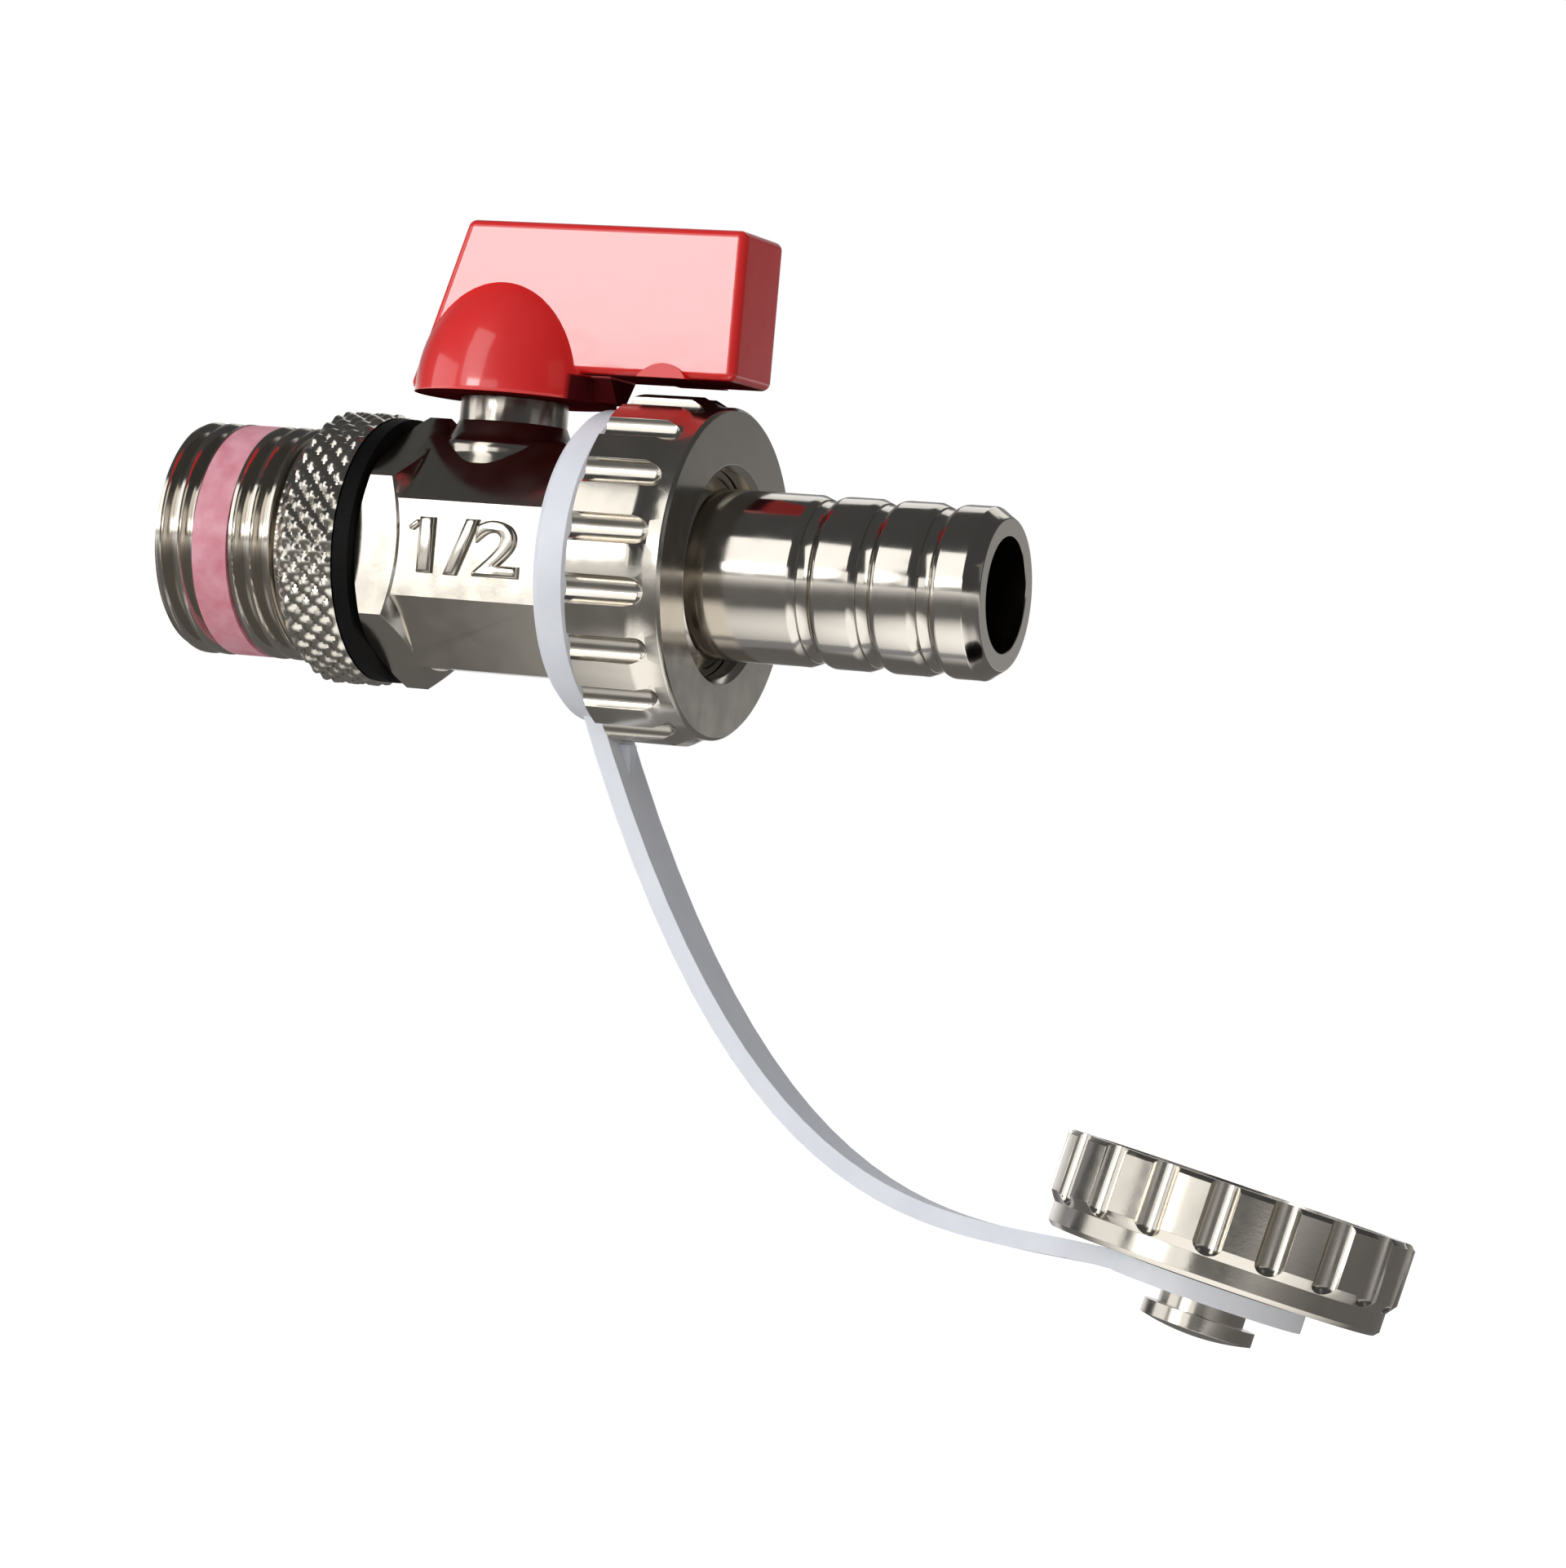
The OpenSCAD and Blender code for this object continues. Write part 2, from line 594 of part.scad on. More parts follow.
module handle() {
    counterbore_r = washer_d / 2 + 2 * turn_gap;
    color("red") difference() {
        union() {
            handle_blade();
            handle_dome();
            handle_lug();
            translate([stem_x + stop_block_from_stem, -stop_block_w / 2, hub_z + face_gap])
                cube([stop_block_l, stop_block_w, blade_lift + handle_edge_r]);
        }
        intersection() {
            translate([stem_x, 0, hub_z - cut_past])
                cylinder(h = clamp_z - hub_z + cut_past, r = stem_d / 2 + turn_gap);
            translate([stem_x - stem_d, -stem_flat_w / 2 - turn_gap, hub_z - cut_past])
                cube([2 * stem_d, stem_flat_w + 2 * turn_gap, clamp_z - hub_z + cut_past]);
        }
        translate([stem_x, 0, clamp_z - cut_past])
            cylinder(h = clamp_floor_w + 2 * cut_past, d = screw_d + 4 * turn_gap);
        translate([stem_x, 0, clamp_top_z]) cylinder(h = handle_h, r = counterbore_r);
        intersection() {
            translate([stem_x, 0, hub_z - cut_past])
                cylinder(h = stop_h + face_gap + cut_past, r = stop_outer_r + 3 * turn_gap);
            translate([stem_x, 0, hub_z - 2 * cut_past])
                wedge(neck_d, stop_from - stop_play, stop_angle + handle_throw + 2 * stop_play,
                      stop_h + 4 * cut_past);
        }
    }
}

module handle_washer() {
    color("gray") translate([stem_x, 0, clamp_top_z]) difference() {
        cylinder(h = washer_w, d = washer_d);
        translate([0, 0, -cut_past]) cylinder(h = washer_w + 2 * cut_past, d = screw_d + 2 * turn_gap);
    }
}

module handle_screw() {
    edge = screw_head_h / 4;
    color("gray") difference() {
        turned_on_stem([[0, screw_head_z - screw_l], [screw_d / 2, screw_head_z - screw_l],
                        [screw_d / 2, screw_head_z], [screw_head_d / 2, screw_head_z],
                        [screw_head_d / 2, screw_head_z + screw_head_h - edge],
                        [screw_head_d / 2 - edge, screw_head_z + screw_head_h],
                        [0, screw_head_z + screw_head_h]]);
        translate([stem_x - screw_head_d, -screw_slot_w / 2, screw_head_z + screw_head_h - screw_slot_h])
            cube([2 * screw_head_d, screw_slot_w, screw_slot_h + cut_past]);
    }
}

// Plastic ring that seals the inlet thread, let into its groove nearly flush with the crests
module thread_seal_ring() {
    color("pink") ring_x(seal_groove_x + turn_gap, seal_groove_w - 2 * turn_gap, inlet_r - turn_gap,
                         inlet_r - seal_groove_h + turn_gap);
}

// Locking collar that runs on the inlet thread; its knurling is a surface finish
module locking_collar() {
    bore_r = inlet_pitch_r + turn_gap;
    back_edge = 0.3;
    color("darkgray") turned([[bore_r, collar_x], [collar_nose_d / 2, collar_x],
                              [collar_d / 2, collar_x + collar_nose_l],
                              [collar_d / 2, collar_x + collar_l - back_edge],
                              [collar_d / 2 - back_edge, collar_x + collar_l],
                              [bore_r, collar_x + collar_l]]);
}

module collar_gasket() {
    color("black") ring_x(collar_gasket_x, collar_gasket_w, collar_gasket_d / 2,
                          inlet_undercut_r + 2 * turn_gap);
}

// Union nut with round-bottomed grooves between its grip ribs
module union_nut() {
    rim_x = nut_end_x - nut_rim_l;
    rib_r = nut_rib_d / 2;
    rim_r = nut_rim_d / 2;
    edge = 0.3;
    bevel = 0.5;
    hole_r = nut_hole_d / 2;
    color("lightgray") difference() {
        turned([[outlet_bore_r, nut_x], [rib_r - 2 * edge, nut_x], [rib_r, nut_x + edge],
                [rib_r, rim_x - nut_slope_l], [rim_r, rim_x], [rim_r, nut_end_x - edge],
                [rim_r - edge, nut_end_x], [hole_r + bevel, nut_end_x], [hole_r, nut_end_x - bevel],
                [hole_r, nut_wall_x], [outlet_bore_r, nut_wall_x]]);
        along_x(nut_x) grip_grooves(rim_x - nut_x - grip_run_out);
    }
}

module union_gasket() {
    color("black") ring_x(spigot_end_x, union_gasket_w, gasket_r, chamber_r + loose_gap);
}

// Hose tail: flange inside the nut, smooth shank, ridges that grip the hose, and a tapered tip
function ridge_profile(right_x) =
    let (r = tail_d / 2, floor_r = r - ridge_groove_h, groove_x = right_x - ridge_groove_w)
    concat([[r, groove_x - ridge_slope_l], [floor_r + ridge_groove_h / 3, groove_x],
            [floor_r, groove_x], [floor_r, right_x]],
           arc_points([r - 2 * ridge_groove_h, right_x + 2 * ridge_groove_h], 2 * ridge_groove_h, -60, 0, 5));

module hose_tail() {
    shank_r = tail_d / 2;
    fillet = 1;
    groove_ends = [for (i = [ridge_grooves - 1 : -1 : 0]) tail_end_x - tip_ridge_l - i * ridge_pitch];
    color("silver") turned(concat(
        [[water_r, tail_flange_x], [tail_flange_d / 2, tail_flange_x],
         [tail_flange_d / 2, tail_flange_x + tail_flange_w], [shank_r + fillet, nut_wall_x - face_gap],
         [shank_r, nut_wall_x - face_gap + fillet]],
        [for (x = groove_ends) for (point = ridge_profile(x)) point],
        [[shank_r, tail_end_x - tip_taper_l], [shank_r - tip_taper_h, tail_end_x], [water_r, tail_end_x]]));
}

// Strap: a ring on the valve, a flat band and an eye for the cap's stud, moulded in one piece
module strap() {
    edge = 0.7;
    ring_r = strap_ring_d / 2;
    ring_end_x = strap_ring_x + strap_ring_w;
    rib_top_z = -nut_rib_d / 2 - loose_gap;
    rib_end_z = rib_top_z - root_rib_l;
    rib_out = strap_t / 2 / cos(strap_root_angle);
    color("whitesmoke") difference() {
        union() {
            turned([[strap_hole_r, strap_ring_x], [ring_r - edge, strap_ring_x],
                    [ring_r, strap_ring_x + edge], [ring_r, ring_end_x - edge],
                    [ring_r - edge, ring_end_x], [strap_hole_r, ring_end_x]]);
            leaning() rotate([90, 0, 0]) linear_extrude(strap_w, center = true)
                polygon(concat(strap_side(strap_t / 2), reversed(strap_side(-strap_t / 2))));
            rotate([90, 0, 0]) linear_extrude(root_rib_w, center = true)
                polygon([[strap_x(rib_top_z), rib_top_z], [strap_x(rib_top_z) + rib_out + root_rib_h, rib_top_z],
                         [strap_x(rib_end_z) + rib_out, rib_end_z], [strap_x(rib_end_z), rib_end_z]]);
            at_cap() translate([0, 0, -eye_below - strap_t / 2]) cylinder(h = strap_t, d = eye_d);
        }
        at_cap() translate([0, 0, -eye_below - 2 * strap_t]) cylinder(h = 4 * strap_t, r = stud_hole_r);
    }
}

// Leans the strap's band across its width, as the eye leans that it runs into
module leaning() {
    slope = tan(cap_lean) / cos(cap_tilt);
    multmatrix([[1, 0, 0, 0], [0, 1, 0, 0], [0, -slope, 1, 0]]) children();
}

// Places a shape at the cap's closed face, with Z along the cap's axis towards its open rim
module at_cap() {
    translate(cap_foot) rotate([-cap_lean, cap_tilt, 0]) children();
}

// Blanking cap with its stud; the open rim is at the top
module blanking_cap() {
    band_r = cap_band_d / 2;
    rib_r = cap_rib_d / 2;
    head_r = stud_head_d / 2;
    edge = 0.4;
    dome_r = (head_r * head_r + stud_dome_h * stud_dome_h) / (2 * stud_dome_h);
    dome_angle = asin(head_r / dome_r);
    head_z = -stud_l - stud_head_w;
    dome = arc_points([0, head_z - stud_dome_h + dome_r], dome_r, -90, -90 + dome_angle, 6);
    color("silver") at_cap() difference() {
        rotate_extrude() polygon(concat(dome, [
            [head_r, -stud_l], [stud_d / 2, -stud_l], [stud_d / 2, 0], [band_r - edge, 0], [band_r, edge],
            [band_r, cap_band_l], [rib_r, cap_band_l + cap_slope_l], [rib_r, cap_h - edge],
            [rib_r - edge, cap_h], [outlet_bore_r, cap_h], [outlet_bore_r, cap_floor_w], [0, cap_floor_w]]));
        translate([0, 0, cap_h]) rotate([180, 0, 0])
            grip_grooves(cap_h - cap_band_l - grip_run_out);
    }
}

module cap_gasket() {
    color("black") at_cap() translate([0, 0, cap_floor_w]) cylinder(h = cap_gasket_w, r = gasket_r);
}

body();
ball();
seat_inlet();
seat_outlet();
seat_retainer();
stem();
stem_oring_lower();
stem_oring_upper();
stem_thrust_washer();
handle();
handle_screw();
handle_washer();
thread_seal_ring();
locking_collar();
collar_gasket();
union_nut();
union_gasket();
hose_tail();
strap();
blanking_cap();
cap_gasket();
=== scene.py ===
"""Looks of a small boiler drain tap: plated brass, red lacquered lever, pink seal, moulded strap.

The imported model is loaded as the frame. Pieces with fine forms that the plain solids leave out,
such as the inlet thread, the knurling and the cast numerals, are built here and stand for their
solids. Sizes in the classes are in millimetres, apart from those of the studio, which are in
metres.
"""

import logging
import math
from dataclasses import dataclass
from enum import Enum
from typing import Any, Callable, Iterable

import bmesh
import bpy
from mathutils import Matrix, Vector


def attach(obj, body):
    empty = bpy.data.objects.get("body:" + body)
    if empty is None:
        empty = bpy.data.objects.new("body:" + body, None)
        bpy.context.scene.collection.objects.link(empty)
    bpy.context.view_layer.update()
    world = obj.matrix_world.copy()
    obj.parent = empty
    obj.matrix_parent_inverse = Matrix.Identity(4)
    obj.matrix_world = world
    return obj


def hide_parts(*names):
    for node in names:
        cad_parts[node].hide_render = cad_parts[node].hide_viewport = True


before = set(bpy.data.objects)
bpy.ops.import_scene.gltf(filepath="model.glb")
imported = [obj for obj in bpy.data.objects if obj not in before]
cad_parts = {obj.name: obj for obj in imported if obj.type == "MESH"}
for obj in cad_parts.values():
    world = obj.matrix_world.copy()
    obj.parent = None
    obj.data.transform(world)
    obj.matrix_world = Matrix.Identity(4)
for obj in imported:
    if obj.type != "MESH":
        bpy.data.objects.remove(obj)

MM = 0.001
IMAGE_W = 1920
LOG = logging.getLogger("drain_tap")
# Points closer than this are one point, and faces that turn less than this are one flat face
MERGE_MM = 0.0005
FLAT_DEG = 0.4
# How far off a plane a point may be and still count as in it
PLANE_MM = 0.001

Ring = tuple[float, float]
Band = tuple[float, float]
Spot = tuple[float, float, float]

# Where most values of a noise pattern lie
NOISE_BAND: Band = (0.3, 0.7)


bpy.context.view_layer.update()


def linear(colour: str) -> tuple[float, float, float, float]:
    """Turns an sRGB hex colour to the linear one that the shaders take.

    Args:
        colour: Six hex digits after a hash.

    Returns:
        Red, green, blue and a full alpha.
    """
    parts = [int(colour[i : i + 2], 16) / 255 for i in (1, 3, 5)]
    red, green, blue = (c / 12.92 if c <= 0.04045 else ((c + 0.055) / 1.055) ** 2.4 for c in parts)
    return red, green, blue, 1.0


def add_node(tree: Any, kind: str, settings: dict | None = None, values: dict | None = None,
             links: dict | None = None) -> Any:
    """Adds one node to a tree.

    Args:
        tree: The node tree.
        kind: The node's type name.
        settings: Attributes to set on the node.
        values: Constants to set on its input sockets, by name or number.
        links: Output sockets to join to its input sockets, by name or number.

    Returns:
        The new node.
    """
    node = tree.nodes.new(kind)
    for name, value in (settings or {}).items():
        setattr(node, name, value)
    for socket, value in (values or {}).items():
        node.inputs[socket].default_value = value
    for socket, source in (links or {}).items():
        tree.links.new(source, node.inputs[socket])
    return node


def spread(low: float, high: float, band: Band = NOISE_BAND) -> dict[str, float]:
    """Gives the values by which a Map Range node spreads a pattern's band over a range.

    Args:
        low: The value at the band's low end.
        high: The value at the band's high end.
        band: The pattern's own values at the two ends.

    Returns:
        The node's values by socket name.
    """
    return {"From Min": band[0], "From Max": band[1], "To Min": low, "To Max": high}


class Grain(Enum):
    """How a metal surface was made, which sets the direction of its finest marks."""

    CAST = "cast and polished, marks without direction"
    TURNED = "turned about the valve's axis, marks round it"


class Finish:
    """A finish that makes its material once and gives it to the pieces that wear it."""

    name: str

    def shader(self, tree: Any) -> Any:
        """Builds the finish's nodes and returns the Principled BSDF node."""
        raise NotImplementedError

    def material(self) -> bpy.types.Material:
        """Gives the finish's material, and makes it the first time.

        Returns:
            The material, named for the finish.
        """
        found = bpy.data.materials.get(self.name)
        if found:
            return found
        made = bpy.data.materials.new(self.name)
        made.use_nodes = True
        made.node_tree.nodes.clear()
        shader = self.shader(made.node_tree)
        add_node(made.node_tree, "ShaderNodeOutputMaterial",
                 links={"Surface": shader.outputs["BSDF"]})
        return made


@dataclass(frozen=True)
class PlatedBrass(Finish):
    """Nickel plate over brass: a warm grey mirror, softened by the marks of casting or turning.

    The plate copies the metal under it, so a cast face reflects softly and a turned one shows fine
    rings.
    """

    name: str
    colour: str
    roughness: float
    roughness_spread: float
    grain: Grain
    mark_mm: float
    mark_depth_mm: float
    cloud_mm: float = 2.5

    def shader(self, tree: Any) -> Any:
        """Builds the plate's nodes.

        Args:
            tree: The material's node tree.

        Returns:
            The Principled BSDF node.
        """
        points = add_node(tree, "ShaderNodeTexCoord").outputs["Object"]
        clouds = add_node(tree, "ShaderNodeTexNoise",
                          values={"Scale": 1 / (self.cloud_mm * MM), "Detail": 4.0},
                          links={"Vector": points})
        where = points
        if self.grain is Grain.TURNED:
            parts = add_node(tree, "ShaderNodeSeparateXYZ", links={"Vector": points})
            across = add_node(tree, "ShaderNodeCombineXYZ",
                              links={"X": parts.outputs["Y"], "Y": parts.outputs["Z"]})
            radius = add_node(tree, "ShaderNodeVectorMath", {"operation": "LENGTH"},
                              links={0: across.outputs["Vector"]})
            turned_points = add_node(tree, "ShaderNodeCombineXYZ",
                                     links={"X": parts.outputs["X"], "Y": radius.outputs["Value"]})
            where = turned_points.outputs["Vector"]
        marks = add_node(tree, "ShaderNodeTexNoise",
                         values={"Scale": 1 / (self.mark_mm * MM), "Detail": 3.0},
                         links={"Vector": where})
        bump = add_node(tree, "ShaderNodeBump",
                        values={"Strength": 1.0, "Distance": self.mark_depth_mm * MM},
                        links={"Height": marks.outputs["Fac"]})
        rough = add_node(tree, "ShaderNodeMapRange",
                         values=spread(self.roughness - self.roughness_spread,
                                       self.roughness + self.roughness_spread),
                         links={"Value": clouds.outputs["Fac"]})
        return add_node(tree, "ShaderNodeBsdfPrincipled",
                        values={"Base Color": linear(self.colour), "Metallic": 1.0},
                        links={"Roughness": rough.outputs["Result"],
                               "Normal": bump.outputs["Normal"]})


@dataclass(frozen=True)
class Lacquer(Finish):
    """Gloss red lacquer over die-cast metal: deep colour under a hard clear surface that pools.

    Faces that look down, and the stop under the blade, are painted in shade: a dark red, with the
    clear coat and the gloss taken away.
    """

    name: str = "gloss_red_lacquer_on_die_cast_metal"
    colour: str = "#E60E0C"
    thin_colour: str = "#EE1A16"
    # Painted shade: the dark red of faces that look down and of the stop under the blade
    painted_shade_colour: str = "#4E1416"
    roughness: float = 0.4
    specular: float = 0.5
    coat_roughness: float = 0.1
    coat_ior: float = 1.6
    pool_mm: float = 3.0
    pool_depth_mm: float = 0.02
    # Painted shade falls on faces that look further down than this, as the upward part of their normal
    down_band: Band = (-0.97, -0.8)
    # No painted shade above the blade's height, nor below it on the hub's side of the stop; the stop
    # under the blade gets it
    blade_band: Band = (16.2 * MM, 16.4 * MM)
    stop_band: Band = (36.5 * MM, 36.9 * MM)

    def shader(self, tree: Any) -> Any:
        """Builds the lacquer's nodes.

        Args:
            tree: The material's node tree.

        Returns:
            The Principled BSDF node.
        """
        points = add_node(tree, "ShaderNodeTexCoord").outputs["Object"]
        pools = add_node(tree, "ShaderNodeTexNoise",
                         values={"Scale": 1 / (self.pool_mm * MM), "Detail": 2.0},
                         links={"Vector": points})
        bump = add_node(tree, "ShaderNodeBump",
                        values={"Strength": 1.0, "Distance": self.pool_depth_mm * MM},
                        links={"Height": pools.outputs["Fac"]})
        tint = add_node(tree, "ShaderNodeMix", {"data_type": "RGBA"},
                        values={"A": linear(self.colour), "B": linear(self.thin_colour)},
                        links={"Factor": pools.outputs["Fac"]})
        # Mask of the painted shade: low on faces that look down and on the stop under the blade
        faces = add_node(tree, "ShaderNodeNewGeometry")
        way = add_node(tree, "ShaderNodeSeparateXYZ", links={"Vector": faces.outputs["Normal"]})
        spot = add_node(tree, "ShaderNodeSeparateXYZ", links={"Vector": points})
        high = add_node(tree, "ShaderNodeMapRange", values=spread(0.0, 1.0, self.blade_band),
                        links={"Value": spot.outputs["Z"]})
        clear = add_node(tree, "ShaderNodeMapRange", values=spread(1.0, 0.0, self.stop_band),
                         links={"Value": spot.outputs["X"]})
        outside_stop_shade = add_node(tree, "ShaderNodeMath", {"operation": "MAXIMUM"},
                           links={0: high.outputs["Result"], 1: clear.outputs["Result"]})
        not_facing_down = add_node(tree, "ShaderNodeMapRange", values=spread(0.0, 1.0, self.down_band),
                             links={"Value": way.outputs["Z"]})
        unshaded_and_coated = add_node(tree, "ShaderNodeMath", {"operation": "MULTIPLY"},
                           links={0: not_facing_down.outputs["Result"], 1: outside_stop_shade.outputs["Value"]})
        # Paints the shade colour in where the mask is low, and takes the coat and gloss away there
        coloured = add_node(tree, "ShaderNodeMix", {"data_type": "RGBA"},
                            values={"A": linear(self.painted_shade_colour)},
                            links={"B": tint.outputs["Result"], "Factor": unshaded_and_coated.outputs["Value"]})
        gloss = add_node(tree, "ShaderNodeMath", {"operation": "MULTIPLY"},
                         values={1: self.specular}, links={0: unshaded_and_coated.outputs["Value"]})
        return add_node(tree, "ShaderNodeBsdfPrincipled",
                        values={"Roughness": self.roughness, "Coat IOR": self.coat_ior,
                                "Coat Roughness": self.coat_roughness},
                        links={"Base Color": coloured.outputs["Result"],
                               "Normal": bump.outputs["Normal"],
                               "Coat Normal": bump.outputs["Normal"],
                               "Coat Weight": unshaded_and_coated.outputs["Value"],
                               "Specular IOR Level": gloss.outputs["Value"]})


@dataclass(frozen=True)
class MouldedPolymer(Finish):
    """A moulded plastic or rubber: faint clouds in its colour, the mould's grain in its gloss."""

    name: str
    colour: str
    cloud_colour: str
    roughness: float
    cloud_mm: float
    grain_mm: float
    grain_depth_mm: float
    subsurface: float = 0.0
    subsurface_mm: float = 1.0
    specular: float = 0.5
    roughness_spread: float = 0.05

    def shader(self, tree: Any) -> Any:
        """Builds the plastic's nodes.

        Args:
            tree: The material's node tree.

        Returns:
            The Principled BSDF node.
        """
        points = add_node(tree, "ShaderNodeTexCoord").outputs["Object"]
        clouds = add_node(tree, "ShaderNodeTexNoise",
                          values={"Scale": 1 / (self.cloud_mm * MM), "Detail": 4.0},
                          links={"Vector": points})
        share = add_node(tree, "ShaderNodeMapRange", values=spread(0.0, 1.0),
                         links={"Value": clouds.outputs["Fac"]})
        tint = add_node(tree, "ShaderNodeMix", {"data_type": "RGBA"},
                        values={"A": linear(self.colour), "B": linear(self.cloud_colour)},
                        links={"Factor": share.outputs["Result"]})
        grain = add_node(tree, "ShaderNodeTexNoise",
                         values={"Scale": 1 / (self.grain_mm * MM), "Detail": 3.0},
                         links={"Vector": points})
        bump = add_node(tree, "ShaderNodeBump",
                        values={"Strength": 1.0, "Distance": self.grain_depth_mm * MM},
                        links={"Height": grain.outputs["Fac"]})
        rough = add_node(tree, "ShaderNodeMapRange",
                         values=spread(self.roughness - self.roughness_spread,
                                       self.roughness + self.roughness_spread),
                         links={"Value": grain.outputs["Fac"]})
        return add_node(tree, "ShaderNodeBsdfPrincipled",
                        values={"Subsurface Weight": self.subsurface,
                                "Subsurface Scale": self.subsurface_mm * MM,
                                "Specular IOR Level": self.specular},
                        links={"Base Color": tint.outputs["Result"],
                               "Roughness": rough.outputs["Result"],
                               "Normal": bump.outputs["Normal"]})


# Cast body, polished before plating: broad soft reflections. Marks of polishing are typically finer
# than 0.1 mm. That isn't measured here, and they are drawn at 0.35 mm so that they show
BODY_PLATE = PlatedBrass("nickel_plate_on_cast_brass", "#CFC8BC",
                         0.17, 0.04, Grain.CAST, 0.35, 0.0013)
# Pieces turned from bar: crisp reflections with fine rings round the axis. A finishing cut typically
# feeds 0.05 to 0.1 mm. That isn't measured here, and the rings are drawn at 0.12 mm so that they show
TURNED_PLATE = PlatedBrass("nickel_plate_on_turned_brass", "#CFC9BF",
                           0.13, 0.04, Grain.TURNED, 0.12, 0.0012)
# Nut and cap, cast and tumbled: between the two, a little uneven from the tumbling stones
TRIM_PLATE = PlatedBrass("nickel_plate_on_tumbled_brass", "#CFC9BE",
                         0.19, 0.05, Grain.CAST, 0.25, 0.003)
# Turned brass left bare inside the valve: warm yellow, with the tool's rings
BARE_BRASS = PlatedBrass("turned_bare_brass", "#C9A25A", 0.25, 0.05, Grain.TURNED, 0.12, 0.002)
# The ball is plated and lapped to a mirror, so that it seals
BALL_CHROME = PlatedBrass("chrome_plate_on_lapped_ball", "#CBCDD0",
                          0.07, 0.02, Grain.CAST, 0.3, 0.0004)
# Zinc-plated steel of the screw and its washer: dull, cool grey
SCREW_ZINC = PlatedBrass("zinc_plate_on_steel", "#A9ABAD", 0.34, 0.06, Grain.CAST, 0.3, 0.004)
# Lacquer of the lever, sprayed and baked: clean red under a clear gloss, and painted shade below
RED_LACQUER = Lacquer()
# Pink sealing ring of filled nylon: waxy, slightly mottled
PINK_NYLON = MouldedPolymer("pink_nylon_seal_ring", "#D98592", "#E9A9B5",
                            0.42, 1.8, 0.4, 0.01, 0.15, 0.8)
# Flat gasket, stamped from black nitrile sheet: nearly no gloss
BLACK_NITRILE = MouldedPolymer("black_nitrile_rubber", "#050505", "#0A0909",
                               0.65, 2.0, 0.3, 0.01, specular=0.2)
# Soft polyethylene strap: milky, cool grey, with a satin mould surface
STRAP_PE = MouldedPolymer("milky_polyethylene_strap", "#E6E9F0", "#EDF0F6",
                          0.4, 4.0, 0.5, 0.008, 0.12, 1.2)
# Seat rings and sliding washer of white PTFE: waxy and plain
WHITE_PTFE = MouldedPolymer("white_ptfe", "#EBEAE4", "#F3F2EE", 0.45, 2.0, 0.4, 0.005, 0.1, 0.8)


def dress(piece: bpy.types.Object, finish: Finish) -> None:
    """Gives a piece its finish.

    Args:
        piece: The piece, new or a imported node.
        finish: What the real piece is made of.
    """
    piece.data.materials.clear()
    piece.data.materials.append(finish.material())


def piece_from(bm: bmesh.types.BMesh, name: str, smooth_deg: float = 35.0,
               flats: bool = False) -> bpy.types.Object:
    """Makes a finished piece of a bmesh and frees it.

    Args:
        bm: The shape, in metres in the tap's frame.
        name: The piece's name.
        smooth_deg: Faces that meet at less than this angle are shaded as one surface.
        flats: Whether large flat faces keep their own shading beside rounded edges.

    Returns:
        The new object, at the origin.
    """
    mesh = bpy.data.meshes.new(name)
    bm.to_mesh(mesh)
    bm.free()
    mesh.shade_smooth()
    mesh.set_sharp_from_angle(angle=math.radians(smooth_deg))
    piece = bpy.data.objects.new(name, mesh)
    bpy.context.scene.collection.objects.link(piece)
    if flats:
        weighted = piece.modifiers.new("flat_faces_stay_flat", "WEIGHTED_NORMAL")
        weighted.keep_sharp = True
    return piece


def place(piece: bpy.types.Object, body: str, finish: Finish, slot: str, *nodes: str) -> None:
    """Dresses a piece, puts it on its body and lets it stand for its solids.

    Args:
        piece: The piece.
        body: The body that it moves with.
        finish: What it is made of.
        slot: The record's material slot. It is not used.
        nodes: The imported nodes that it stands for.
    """
    dress(piece, finish)
    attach(piece, body)
    if nodes:
        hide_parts(*nodes)
    LOG.info("%s: %d faces", piece.name, len(piece.data.polygons))


def node_copy(node: str) -> bmesh.types.BMesh:
    """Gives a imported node's mesh with its loose triangles joined and its flat faces whole.

    Args:
        node: The node's name.

    Returns:
        The merged copy.
    """
    bm = bmesh.new()
    bm.from_mesh(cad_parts[node].data)
    bmesh.ops.remove_doubles(bm, verts=bm.verts[:], dist=MERGE_MM * MM)
    bmesh.ops.dissolve_limit(bm, angle_limit=math.radians(FLAT_DEG), verts=bm.verts[:],
                             edges=bm.edges[:], delimit=set())
    return bm


def round_edges(bm: bmesh.types.BMesh, width_mm: float, angle_deg: float = 28.0, segments: int = 2,
                keep: Callable[[bmesh.types.BMEdge], bool] | None = None) -> None:
    """Rounds the sharp edges of a shape a little, as tumbling and plating do.

    Args:
        bm: The shape.
        width_mm: The width of the rounding.
        angle_deg: Edges sharper than this are rounded.
        segments: Faces across each rounding.
        keep: Says which of the sharp edges are rounded; all of them if it is left out.
    """
    sharp = [e for e in bm.edges if len(e.link_faces) == 2
             and e.calc_face_angle(0.0) > math.radians(angle_deg) and (keep is None or keep(e))]
    bmesh.ops.bevel(bm, geom=sharp, offset=width_mm * MM, offset_type="OFFSET", segments=segments,
                    profile=0.5, affect="EDGES", clamp_overlap=True, material=-1)


def radial(point: Vector) -> float:
    """Gives a point's distance from the valve's axis."""
    return math.hypot(point.y, point.z)


def stretch_radius(vert: bmesh.types.BMVert, scale: float) -> None:
    """Moves a point straight in or out by a share of its distance from the valve's axis."""
    vert.co = Vector((vert.co.x, vert.co.y * scale, vert.co.z * scale))


